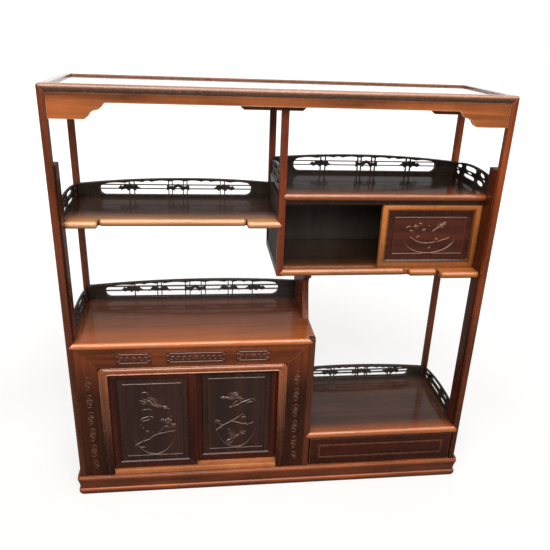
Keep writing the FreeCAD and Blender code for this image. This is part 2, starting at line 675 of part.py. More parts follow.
# Upright board that carries the box on the low cabinet
def upright_board_shape():
    """A board with a hollowed front edge that flares forward under the box."""
    foot_y = panel_back_y - upright_foot_depth
    waist_y = panel_back_y - upright_waist_depth
    bracket_y = panel_back_y - upright_bracket_depth
    bracket_z = box_floor_base - upright_bracket_height
    waist_z = bracket_z - upright_flare_height
    hollow = ((foot_y + waist_y) / 2 + upright_bow, (cabinet_top + waist_z) / 2)
    flare = (waist_y + flare_depth_share * (bracket_y - waist_y), waist_z + flare_height_share * upright_flare_height)
    steps = [(hollow, (waist_y, waist_z)), (flare, (bracket_y, bracket_z)), ((bracket_y, box_floor_base),),
             ((panel_back_y, box_floor_base),), ((panel_back_y, cabinet_top),), ((foot_y, cabinet_top),)]
    return plate("yz", (foot_y, cabinet_top), steps, cabinet_x - upright_thickness, cabinet_x)


# Galleries: boards with an arched upper edge, pierced with openings
def edge_height(place, span, heights):
    """The height of a gallery's arched edge over its shelf at a place along its span."""
    start, middle, end = heights
    share = (place - span[0]) / (span[1] - span[0])
    rise = middle - (start + end) / 2
    return start + share * (end - start) + rise * (1 - (2 * share - 1) ** 2)


def arched_board(plane, span, base, heights, front, back):
    """A board whose upper edge is one long arc through its start, middle and end heights."""
    start, middle, end = heights
    crown = ((span[0] + span[1]) / 2, base + middle)
    steps = [((span[0], base + start),), (crown, (span[1], base + end)), ((span[1], base),), ((span[0], base),)]
    return plate(plane, (span[0], base), steps, front, back)


def scalloped_opening(span, hole, base, heights, cusps, front, back):
    """A long opening with round ends and a row of shallow arches along its upper edge."""
    def under_edge(place):
        return base + edge_height(place, span, heights) - gallery_top_rail

    bottom = base + gallery_foot_rail
    start_round = (under_edge(hole[0]) - bottom) / 2
    end_round = (under_edge(hole[1]) - bottom) / 2
    here = hole[1] - end_round
    steps = [((here, bottom),), ((hole[1], bottom + end_round), (here, under_edge(hole[1])))]
    for share in reversed(cusps):
        place = hole[0] + share * (hole[1] - hole[0])
        crown = (here + place) / 2
        steps.append(((crown, under_edge(crown)), (place, under_edge(place) - gallery_cusp)))
        here = place
    place = hole[0] + start_round
    crown = (here + place) / 2
    steps.append(((crown, under_edge(crown)), (place, under_edge(hole[0]))))
    steps.append(((hole[0], bottom + start_round), (place, bottom)))
    return plate("xz", (place, bottom), steps, front, back)


def fret(span, hole, base, heights, motifs, uprights, front, back):
    """The bars, uprights and motifs that fill a long opening."""
    bottom = base + gallery_foot_rail
    crown = (hole[0] + hole[1]) / 2
    height = base + edge_height(crown, span, heights) - gallery_top_rail - bottom
    pieces = []
    for share in fret_bar_shares:
        level = bottom + share * height
        pieces.append(block((hole[0] - fret_bar, hole[1] + fret_bar), (front, back),
                            (level - fret_bar / 2, level + fret_bar / 2)))
    for share in uprights:
        centre = hole[0] + share * (hole[1] - hole[0])
        top = base + edge_height(centre, span, heights) - gallery_top_rail + fret_bar
        pieces.append(block((centre - fret_upright / 2, centre + fret_upright / 2), (front, back),
                            (bottom - fret_bar, top)))
    for share, outline in motifs:
        centre = hole[0] + share * (hole[1] - hole[0])
        turn = -1 if centre > crown else 1
        points = [(centre + turn * along * motif_length, bottom + height / 2 + up * motif_height)
                  for along, up in outline]
        pieces.append(polygon_plate("xz", points, front, back))
    return pieces


def back_gallery(span, margins, base, heights, cusps, motifs, uprights):
    """A gallery that stands along the back of a shelf."""
    front = back_post_y - gallery_thickness
    inset = (gallery_thickness - fret_thickness) / 2
    hole = (span[0] + margins[0], span[1] - margins[1])
    board = arched_board("xz", span, base, heights, front, back_post_y)
    board = board.cut(scalloped_opening(span, hole, base, heights, cusps, front, back_post_y))
    return joined(board, *fret(span, hole, base, heights, motifs, uprights, front + inset, back_post_y - inset))


def cut_corner_opening(centre, half_length, half_height, front, back):
    """An eight-sided opening through a side gallery."""
    cut = corner_cut_share * half_height
    points = []
    for side, level in ((1, -1), (1, 1), (-1, 1), (-1, -1)):
        upright = (centre[0] + side * half_length, centre[1] + level * (half_height - cut))
        flat = (centre[0] + side * (half_length - cut), centre[1] + level * half_height)
        points += [upright, flat] if side == level else [flat, upright]
    return polygon_plate("yz", points, front, back)


def side_gallery(low, base, inner, outer):
    """A gallery across the end of a shelf, from a place near the front to the back posts."""
    heights = (side_gallery_front_height, side_gallery_middle_height, side_gallery_back_height)
    board = arched_board("yz", (low, back_post_y), base, heights, inner, outer)
    length = back_post_y - low
    openings = [cut_corner_opening((low + along * length, base + up * side_gallery_middle_height),
                                   half_length * length, half_height * side_gallery_middle_height, inner, outer)
                for along, up, half_length, half_height in side_opening_shares]
    return board.cut(openings).Solids[0]


def right_side_gallery(base):
    """A side gallery between a right stile and a right back post."""
    return side_gallery(stile_back_y, base, gallery_x, gallery_x + side_gallery_thickness)


upper_left_back_gallery = back_gallery(
    (-gallery_x, middle_panel_x[0]), (upper_gallery_outer_margin, upper_gallery_inner_margin), left_shelf_top,
    (upper_gallery_outer_height, upper_gallery_middle_height, upper_gallery_inner_height),
    three_cusp_shares, three_motif_shares, three_upright_shares)
upper_right_back_gallery = back_gallery(
    (middle_panel_x[1], gallery_x), (upper_gallery_inner_margin, upper_gallery_outer_margin), right_shelf_top,
    (upper_gallery_inner_height, upper_gallery_middle_height, upper_gallery_outer_height),
    three_cusp_shares, three_motif_shares, three_upright_shares)
cabinet_back_gallery = back_gallery(
    (-gallery_x, cabinet_x - upright_thickness), (cabinet_gallery_margin, cabinet_gallery_margin), cabinet_top,
    (cabinet_gallery_outer_height, cabinet_gallery_middle_height, cabinet_gallery_inner_height),
    five_cusp_shares, five_motif_shares, five_upright_shares)
drawer_unit_back_gallery = back_gallery(
    (cabinet_x, gallery_x), (unit_gallery_margin, unit_gallery_margin), drawer_unit_top,
    (unit_gallery_inner_height, unit_gallery_middle_height, unit_gallery_outer_height),
    three_cusp_shares, three_motif_shares, three_upright_shares)


# Plinth rails with a foot, a bead, a hollow and two small beads
def plinth_rail(plane, outer, low, high):
    """A moulded rail whose profile starts at its inner bottom corner."""
    top_bead = (plinth_height - plinth_foot_height - plinth_lower_bead - plinth_cove_height) / 2
    bead_z = plinth_foot_height + plinth_lower_bead
    cove_z = bead_z + plinth_cove_height
    turn = plinth_foot_round * (1 - math.sqrt(1 / 2))
    face = outer + plinth_bead_relief
    inner = outer + plinth_rail_width
    steps = [((face + plinth_foot_round, 0),),
             ((face + turn, turn), (face, plinth_foot_round)),
             ((face, plinth_foot_height),),
             ((outer, (plinth_foot_height + bead_z) / 2), (face, bead_z)),
             ((outer + plinth_cove_lip, bead_z),),
             ((outer + plinth_cove_depth, (bead_z + cove_z) / 2), (outer + plinth_cove_lip, cove_z)),
             ((face, cove_z),),
             ((outer, cove_z + top_bead / 2), (face, cove_z + top_bead)),
             ((outer, plinth_height - top_bead / 2), (face, plinth_height)),
             ((inner, plinth_height),),
             ((inner, 0),)]
    return plate(plane, (inner, 0), steps, low, high)


plinth_x = left_x - plinth_side_overhang
plinth_y = front_y - plinth_front_overhang
plinth_inner_x = plinth_x + plinth_rail_width
plinth_inner_y = plinth_y + plinth_rail_width
plinth_back_y = back_y - plinth_rail_width
base_board = block((plinth_inner_x - base_board_lap, -plinth_inner_x + base_board_lap),
                   (plinth_inner_y - base_board_lap, plinth_back_y + base_board_lap),
                   (plinth_height - base_board_thickness, plinth_height))
front_corner = polygon_plate("xy", [(plinth_x, plinth_y), (plinth_x, plinth_inner_y),
                                    (plinth_inner_x, plinth_inner_y)], 0, plinth_height)
side_corner = polygon_plate("xy", [(plinth_x, plinth_y), (plinth_inner_x, plinth_y),
                                   (plinth_inner_x, plinth_inner_y)], 0, plinth_height)
plinth_front_rail = plinth_rail("yz", plinth_y, plinth_x, -plinth_x)
plinth_front_rail = plinth_front_rail.cut([front_corner, mirrored(front_corner), base_board]).Solids[0]
plinth_left_rail = plinth_rail("xz", plinth_x, plinth_y, back_y).cut([side_corner, base_board]).Solids[0]
plinth_back_rail = block((plinth_inner_x, -plinth_inner_x), (plinth_back_y, back_y), (0, plinth_height))
plinth_back_rail = plinth_back_rail.cut(base_board)

# Posts and stiles
left_side_stile = rounded(left_stile_column, edge_round, {"x": -stile_x, "y": stile_back_y},
                          {"x": left_x, "y": post_back_y})
left_front_post = left_post(left_front_column, front_y, post_back_y)
left_back_post = left_post(left_back_column, back_y, back_post_y)
middle_front_post = rounded(middle_front_column, edge_round, {"x": middle_left_x, "y": shelf_front_y},
                            {"x": middle_right_x, "y": shelf_front_y})

# Write every piece
save("plinth_front_rail", plinth_front_rail)
save("plinth_back_rail", plinth_back_rail)
save("plinth_side_rails", plinth_left_rail, mirrored(plinth_left_rail))
save("base_board", base_board)
save("left_front_post", left_front_post.cut(cabinet_left_tip))
save("right_front_post", mirrored(left_front_post).cut(unit_right_tip))
save("left_back_post", left_back_post)
save("right_back_post", mirrored(left_back_post))
save("side_stiles", left_side_stile, mirrored(left_side_stile))
save("middle_front_post", middle_front_post.cut([left_shelf_tip, right_shelf_tip, box_tip]))
save("middle_back_post", middle_back_column)
save("top_front_rail", top_front_rail)
save("top_back_rail", top_back_rail)
save("top_left_rail", top_left_rail)
save("top_right_rail", mirrored(top_left_rail))
save("top_panel", top_panel)
save("top_cross_batten", top_cross_batten)
save("front_apron", front_apron)
save("back_aprons", back_apron, mirrored(back_apron))
save("side_aprons", left_apron, mirrored(left_apron))
save("upper_left_shelf", upper_left_shelf)
save("upper_left_back_gallery", upper_left_back_gallery)
save("upper_left_side_gallery", mirrored(right_side_gallery(left_shelf_top)))
save("upper_right_shelf", upper_right_shelf)
save("upper_right_back_gallery", upper_right_back_gallery)
save("upper_right_middle_gallery", side_gallery(shelf_front_y + post_side, right_shelf_top,
                                                middle_panel_x[0], middle_panel_x[1]))
save("upper_right_side_gallery", right_side_gallery(right_shelf_top))
save("box_bottom_board", box_bottom_board)
save("box_left_panel", box_left_panel)
save("box_right_panel", box_right_panel)
save("box_back_panel", box_back_panel)
save("box_head_rail", box_head_rail)
save("box_door_frame", *box_door_members)
save("box_door_panel", box_door_panel)
save("cabinet_top", cabinet_top_board)
save("cabinet_back_gallery", cabinet_back_gallery)
save("cabinet_side_gallery", mirrored(right_side_gallery(cabinet_top)))
save("cabinet_face_frame", *face_members)
save("cabinet_arch_moulding", *arch_moulding())
save("cabinet_corner_post", cabinet_corner_post.cut([cabinet_right_tip, unit_left_tip]))
save("cabinet_left_panel", cabinet_left_panel)
save("cabinet_partition", cabinet_partition)
save("cabinet_back_panel", cabinet_back_panel)
save("cabinet_sill", cabinet_sill)
save("cabinet_head_track", cabinet_head_track)
save("left_door_frame", *left_door_members)
save("left_door_panel", left_door_panel)
save("right_door_frame", *right_door_members)
save("right_door_panel", right_door_panel)
save("upright_board", upright_board_shape())
save("drawer_unit_top", drawer_unit_top_board)
save("drawer_unit_back_gallery", drawer_unit_back_gallery)
save("drawer_unit_side_gallery", right_side_gallery(drawer_unit_top))
save("drawer_unit_right_panel", drawer_unit_right_panel)
save("drawer_unit_back_panel", drawer_unit_back_panel)
save("drawer_guide", drawer_guide)
save("drawer_front", drawer_front_board())
save("drawer_sides", *drawer_side_solids)
save("drawer_back", drawer_back)
save("drawer_bottom", drawer_bottom)
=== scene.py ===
import math

import bmesh
import bpy
import numpy as np
from mathutils import Matrix, Vector


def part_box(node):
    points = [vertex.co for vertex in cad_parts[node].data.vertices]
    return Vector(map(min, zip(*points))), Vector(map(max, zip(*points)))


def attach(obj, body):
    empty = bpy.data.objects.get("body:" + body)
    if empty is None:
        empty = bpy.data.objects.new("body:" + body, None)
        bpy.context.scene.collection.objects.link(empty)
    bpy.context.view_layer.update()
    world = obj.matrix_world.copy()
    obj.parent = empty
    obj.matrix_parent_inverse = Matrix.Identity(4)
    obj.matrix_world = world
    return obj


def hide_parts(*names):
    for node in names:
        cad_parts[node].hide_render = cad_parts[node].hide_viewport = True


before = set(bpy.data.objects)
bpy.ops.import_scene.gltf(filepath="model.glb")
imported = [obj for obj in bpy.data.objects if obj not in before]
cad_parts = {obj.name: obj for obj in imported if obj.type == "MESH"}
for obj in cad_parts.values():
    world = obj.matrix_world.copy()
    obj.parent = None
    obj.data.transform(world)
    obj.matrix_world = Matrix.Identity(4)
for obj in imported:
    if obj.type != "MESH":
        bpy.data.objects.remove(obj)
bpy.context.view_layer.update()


# Colours

def tone(red, green, blue):
    """A linear colour from its screen values of 0 to 255."""
    def linear(value):
        value = value / 255
        return value / 12.92 if value <= 0.04045 else ((value + 0.055) / 1.055) ** 2.4
    return (linear(red), linear(green), linear(blue), 1.0)


def scaled(colour, share):
    """A colour made darker or lighter by a share."""
    return tuple(min(part * share, 1.0) for part in colour[:3]) + (1.0,)


# Nodes

class Wiring:
    """A node tree, wired by short calls. An input is a value, or the output that is linked to it."""

    def __init__(self, tree):
        self.nodes, self.links = tree.nodes, tree.links

    def add(self, kind, inputs=(), **settings):
        node = self.nodes.new(kind)
        for key, value in settings.items():
            setattr(node, key, value)
        for socket, value in dict(inputs).items():
            if isinstance(value, bpy.types.NodeSocket):
                self.links.new(value, node.inputs[socket])
            else:
                node.inputs[socket].default_value = value
        return node

    def out(self, kind, inputs=(), **settings):
        """The first output of a new node."""
        return self.add(kind, inputs, **settings).outputs[0]

    def math(self, operation, a, b=0.0):
        return self.out("ShaderNodeMath", {0: a, 1: b}, operation=operation)

    def spread(self, value, low=0.0, high=1.0, out_low=0.0, out_high=1.0):
        return self.out("ShaderNodeMapRange", {"Value": value, "From Min": low, "From Max": high,
                                               "To Min": out_low, "To Max": out_high})

    def ramp(self, value, stops):
        node = self.add("ShaderNodeValToRGB", {0: value})
        elements = node.color_ramp.elements
        while len(elements) < len(stops):
            elements.new(0.5)
        for element, (place, colour) in zip(elements, stops):
            element.position = place
            element.color = colour
        return node.outputs[0]

    def part_of(self, vector, axis):
        """One of the three parts of a place or a direction."""
        return self.add("ShaderNodeSeparateXYZ", {0: vector}).outputs[axis]


class Tree(Wiring):
    """A new material's nodes."""

    def __init__(self, name):
        self.material = bpy.data.materials.new(name)
        self.material.use_nodes = True
        super().__init__(self.material.node_tree)
        self.shader = self.nodes["Principled BSDF"]
        self.place = self.add("ShaderNodeTexCoord").outputs["Object"]

    def shade(self, socket, output):
        self.links.new(output, self.shader.inputs[socket])

    def stretched(self, scale):
        return self.out("ShaderNodeMapping", {"Vector": self.place, "Scale": scale})

    def noise(self, vector, scale, detail=3.0, roughness=0.5, distortion=0.0):
        return self.out("ShaderNodeTexNoise", {"Vector": vector, "Scale": scale, "Detail": detail,
                                               "Roughness": roughness, "Distortion": distortion})

    def blend(self, share, a, b, kind="MIX"):
        """A colour between two others."""
        return self.add("ShaderNodeMix", {0: share, 6: a, 7: b}, data_type="RGBA", blend_type=kind,
                        clamp_result=True).outputs[2]

    def choose(self, share, a, b):
        """A place, read from the first at 0 and from the second at 1."""
        return self.add("ShaderNodeMix", {0: share, 4: a, 5: b}, data_type="VECTOR").outputs[1]

    def corner_share(self, reach, inside):
        """How close a point is to an arris, or to an inner corner."""
        return self.add("ShaderNodeAmbientOcclusion", {"Distance": reach}, samples=4, inside=inside,
                        only_local=inside).outputs["AO"]

    def softened(self, radius):
        """The normal, turned as if the arrises were rounded."""
        return self.out("ShaderNodeBevel", {"Radius": radius}, samples=3)

    def bump(self, height, strength, distance, normal=None):
        inputs = {"Height": height, "Strength": strength, "Distance": distance}
        if normal is not None:
            inputs["Normal"] = normal
        return self.out("ShaderNodeBump", inputs)


# Wood

# how the figure and the pores are stretched along the grain
GRAIN = {"x": (1.6, 30.0, 30.0), "y": (30.0, 1.6, 30.0), "z": (30.0, 30.0, 1.6)}
PORES = {"x": (28.0, 900.0, 900.0), "y": (900.0, 28.0, 900.0), "z": (900.0, 900.0, 28.0)}
FIGURE = {"scale": 1.0, "detail": 6.0, "roughness": 0.62, "distortion": 0.8}
BANDS = {"scale": 3.1, "detail": 3.0, "roughness": 0.5, "distortion": 0.2}
OPEN_PORES = {"scale": 1.0, "detail": 2.0, "roughness": 0.6}
CLOUD_SCALE = 7.0
FIGURE_SHARE, BAND_SHARE, CLOUD_SHARE = 0.62, 0.38, 0.32
DARKEST, LIGHTEST = 0.58, 0.65      # how far the figure goes below and above the board's tone
PORES_OPEN = (0.60, 0.72)
PORE_DEPTH, PORE_STRENGTH = 0.0002, 0.12
BARE_WOOD_AND_HIGHLIGHT = 2.4          # how much lighter a worn arris, with its painted highlight, is than the board
ARRIS_REACH = 0.0018     # how far worn wood and the painted highlight come in from an arris, in metres
CORNER_REACH = 0.016     # how far painted shade, with old wax, darkens an inner corner
NOSE = (0.006, 0.014)    # how far from a shelf's front its round nose turns over
FADE_START = 0.010       # how far from it the lighter edge, worn wood with a painted highlight, starts to fade
CARVING_GLOSS = 0.3
BLACK = (0.0, 0.0, 0.0, 1.0)


def grain_places(t, grain, mitre):
    """Where the figure and the pores are read, and for a frame, mitred, the way out from its inner edge."""
    if mitre is None:
        return t.stretched(GRAIN[grain]), t.stretched(PORES[grain]), None
    (centre_x, half_x), (centre_z, half_z) = mitre
    across = t.math("ABSOLUTE", t.math("SUBTRACT", t.part_of(t.place, 0), centre_x))
    across = t.math("SUBTRACT", across, half_x)
    up = t.math("SUBTRACT", t.part_of(t.place, 2), centre_z)
    if half_z is not None:
        up = t.math("SUBTRACT", t.math("ABSOLUTE", up), half_z)
    rail = t.math("GREATER_THAN", up, across)
    return (t.choose(rail, t.stretched(GRAIN["z"]), t.stretched(GRAIN["x"])),
            t.choose(rail, t.stretched(PORES["z"]), t.stretched(PORES["x"])), t.math("MAXIMUM", up, across))


def rosewood(name, grain, middle, edge=None, gloss=0.26, mitre=None, front=None, front_tone=None,
             reach=0.07, step=0.0, polish=0.25, wear_and_highlight=0.4, roundness=0.002, coat=0.1, contrast=1.0,
             shade=None, underside_shade=0.25, inner_band=None):
    """Waxed rosewood: dark figure, open pores, arrises lightened by wear and a painted highlight, and inner
    corners darkened by painted shade and old wax.

    A shelf has a lighter front edge, partly worn wood and partly a painted highlight on its nose (front,
    front_tone, reach and step), a frame's grain turns at its mitres and it may have painted shade along its
    inside (inner_band), and a piece may darken down its height with painted shade (shade). Its undersides get
    painted shade (underside_shade), its worn arrises also carry a painted highlight (wear_and_highlight), and
    its arrises look rounded by roundness. Colours are screen values of 0 to 255.
    """
    t = Tree(name)
    middle, edge, front_tone = [colour and tone(*colour) for colour in (middle, edge, front_tone)]
    figure_place, pore_place, from_inside = grain_places(t, grain, mitre)
    figure = t.math("MULTIPLY", t.noise(figure_place, **FIGURE), FIGURE_SHARE)
    bands = t.math("MULTIPLY", t.noise(figure_place, **BANDS), BAND_SHARE)
    pores = t.noise(pore_place, **OPEN_PORES)
    cloud = t.math("SUBTRACT", t.noise(t.place, CLOUD_SCALE), 0.5)
    value = t.math("ADD", t.math("ADD", figure, bands), t.math("MULTIPLY", cloud, CLOUD_SHARE))
    colour = t.ramp(value, [(0.34, scaled(middle, 1.0 - DARKEST * contrast)), (0.5, middle),
                            (0.66, scaled(middle, 1.0 + LIGHTEST * contrast))])
    # painted highlight: the front edge and round nose take a lighter tone, partly worn wood and partly the light
    # on the nose
    if front is not None:
        worn_and_lit_front = t.ramp(value, [(0.3, scaled(front_tone, 0.7)), (0.5, front_tone),
                                    (0.7, scaled(front_tone, 1.25))])
        depth = t.math("SUBTRACT", t.part_of(t.place, 1), front + step)
        fade = t.spread(depth, FADE_START, reach, 0.8, 0.0)
        nose = t.spread(depth, *NOSE, 1.0, 0.0)
        colour = t.blend(t.math("MAXIMUM", t.math("POWER", fade, 1.6), nose), colour, worn_and_lit_front)
    pore_share = t.spread(pores, *PORES_OPEN, 0.0, 0.5)
    colour = t.blend(pore_share, colour, scaled(middle, 0.2))
    # the arrises are lightened, partly by wear and partly by a painted highlight
    arris = t.spread(t.corner_share(ARRIS_REACH, True), 0.93, 0.62, 0.0, wear_and_highlight)
    worn = t.math("MULTIPLY", arris, t.spread(t.noise(t.place, 45.0, 3.0), 0.3, 0.6, 0.4, 1.0))
    colour = t.blend(worn, colour, edge or scaled(front_tone or middle, BARE_WOOD_AND_HIGHLIGHT))
    # painted shade, with old wax, darkens the inner corners
    recess = t.spread(t.corner_share(CORNER_REACH, False), 0.35, 0.9, 0.5, 0.0)
    colour = t.blend(recess, colour, scaled(middle, 0.12))
    # painted shade: the colour darkens towards black across a range of heights
    if shade is not None:
        bottom, top, share = shade
        dark = t.spread(t.part_of(t.place, 2), bottom, top, 1.0 - share, 0.0)
        colour = t.blend(dark, colour, BLACK)
    # painted shade along the inside of a frame
    if inner_band is not None:
        width, share = inner_band
        painted_inner_shade = t.spread(from_inside, width * 0.7, width * 1.3, share, 1.0)
        colour = t.blend(1.0, colour, painted_inner_shade, "MULTIPLY")
    # painted shade on surfaces that face down
    soft = t.softened(roundness)
    painted_underside_shade = t.spread(t.part_of(soft, 2), -0.5, 0.45, 1.0 - underside_shade, 1.0)
    colour = t.blend(1.0, colour, painted_underside_shade, "MULTIPLY")
    t.shade("Base Color", colour)
    rough = t.spread(t.noise(t.place, 60.0, 4.0, 0.6), 0.3, 0.7, gloss * 0.8, gloss * 1.3)
    t.shade("Roughness", t.math("ADD", rough, t.math("MULTIPLY", pore_share, 0.15)))
    t.shade("Normal", t.bump(pores, PORE_STRENGTH, PORE_DEPTH, soft))
    t.shader.inputs["Specular IOR Level"].default_value = polish
    t.shader.inputs["Coat Weight"].default_value = coat
    t.shader.inputs["Coat Roughness"].default_value = 0.08
    return t.material


def carved_rosewood(name, grain, ground, raised):
    """Rosewood carved in low relief: a dark ground, lighter raised parts, painted highlights on upward slopes
    and crests, the crests also worn bright by wax and hands, and painted shade on downward slopes.
    """
    t = Tree(name)
    ground, raised = tone(*ground), tone(*raised)
    figure_place, pore_place, _ = grain_places(t, grain, None)
    figure = t.noise(figure_place, **FIGURE)
    pores = t.noise(pore_place, **OPEN_PORES)
    lift = t.add("ShaderNodeAttribute", attribute_name="lift").outputs["Fac"]
    upward = t.part_of(t.add("ShaderNodeNewGeometry").outputs["Normal"], 2)
    patches = t.spread(t.noise(t.place, 70.0, 3.0), 0.3, 0.6, 0.55, 1.0)
    raised_share = t.spread(lift, 0.04, 0.3)
    wood = t.ramp(figure, [(0.36, scaled(ground, 0.55)), (0.5, ground), (0.66, scaled(ground, 1.5))])
    colour = t.blend(raised_share, wood, scaled(ground, 1.45))
    # painted shade on downward slopes
    colour = t.blend(t.spread(upward, -0.12, -0.5, 0.0, 0.75), colour, scaled(ground, 0.3))
    # painted highlight on upward slopes and along the crests, the crests partly worn bright
    painted_ledge_highlight = t.math("MULTIPLY", t.spread(upward, 0.16, 0.62), t.math("MULTIPLY", patches, raised_share))
    crest = t.math("MULTIPLY", t.spread(lift, 0.62, 1.0, 0.0, 0.4), patches)
    colour = t.blend(t.math("MAXIMUM", painted_ledge_highlight, crest), colour, raised)
    pore_share = t.spread(pores, *PORES_OPEN, 0.0, 0.4)
    colour = t.blend(pore_share, colour, scaled(ground, 0.3))
    t.shade("Base Color", colour)
    t.shade("Roughness", t.spread(lift, 0.1, 0.8, CARVING_GLOSS * 1.2, CARVING_GLOSS * 0.75))
    t.shade("Normal", t.bump(t.noise(t.place, 420.0, 2.0), 0.12, 0.0003))
    t.shader.inputs["Specular IOR Level"].default_value = 0.3
    t.shader.inputs["Coat Weight"].default_value = 0.1
    t.shader.inputs["Coat Roughness"].default_value = 0.15
    return t.material


def mitre_of(node, member_x, member_z=None):
    """Where a frame's grain turns: the inner half sizes about its middle."""
    low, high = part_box(node)
    centre_x = (low.x + high.x) / 2
    half_x = (high.x - low.x) / 2 - member_x
    if member_z is None:
        return (centre_x, half_x), (high.z - member_x, None)
    centre_z = (low.z + high.z) / 2
    return (centre_x, half_x), (centre_z, (high.z - low.z) / 2 - member_z)


def shelf_wood(name, node, middle, front_tone, reach=0.07, step=0.0):
    """A shelf's board and rails: dark on top, lighter along the round front edge with a painted highlight and
    some wear, and painted shade under the nose.
    """
    return rosewood(name, "x", middle, gloss=0.14, front=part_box(node)[0].y, front_tone=front_tone, reach=reach,
                    step=step, roundness=0.008, polish=0.5, wear_and_highlight=0.3, coat=0.4, contrast=0.6, underside_shade=0.75)


FACE_MEMBER = 0.048
DOOR_STILE, DOOR_RAIL = 0.021, 0.022
BOX_DOOR_STILE = 0.0175
ARCH_WIDTH = 0.020


def door_wood(side):
    """A cabinet door's frame: dark, with painted shade along its inside."""
    return rosewood("rosewood " + side + " door", "x", (76, 30, 16), (142, 80, 54), polish=0.15,
                    mitre=mitre_of(side + "_door_frame", DOOR_STILE, DOOR_RAIL), inner_band=(0.006, 0.5))


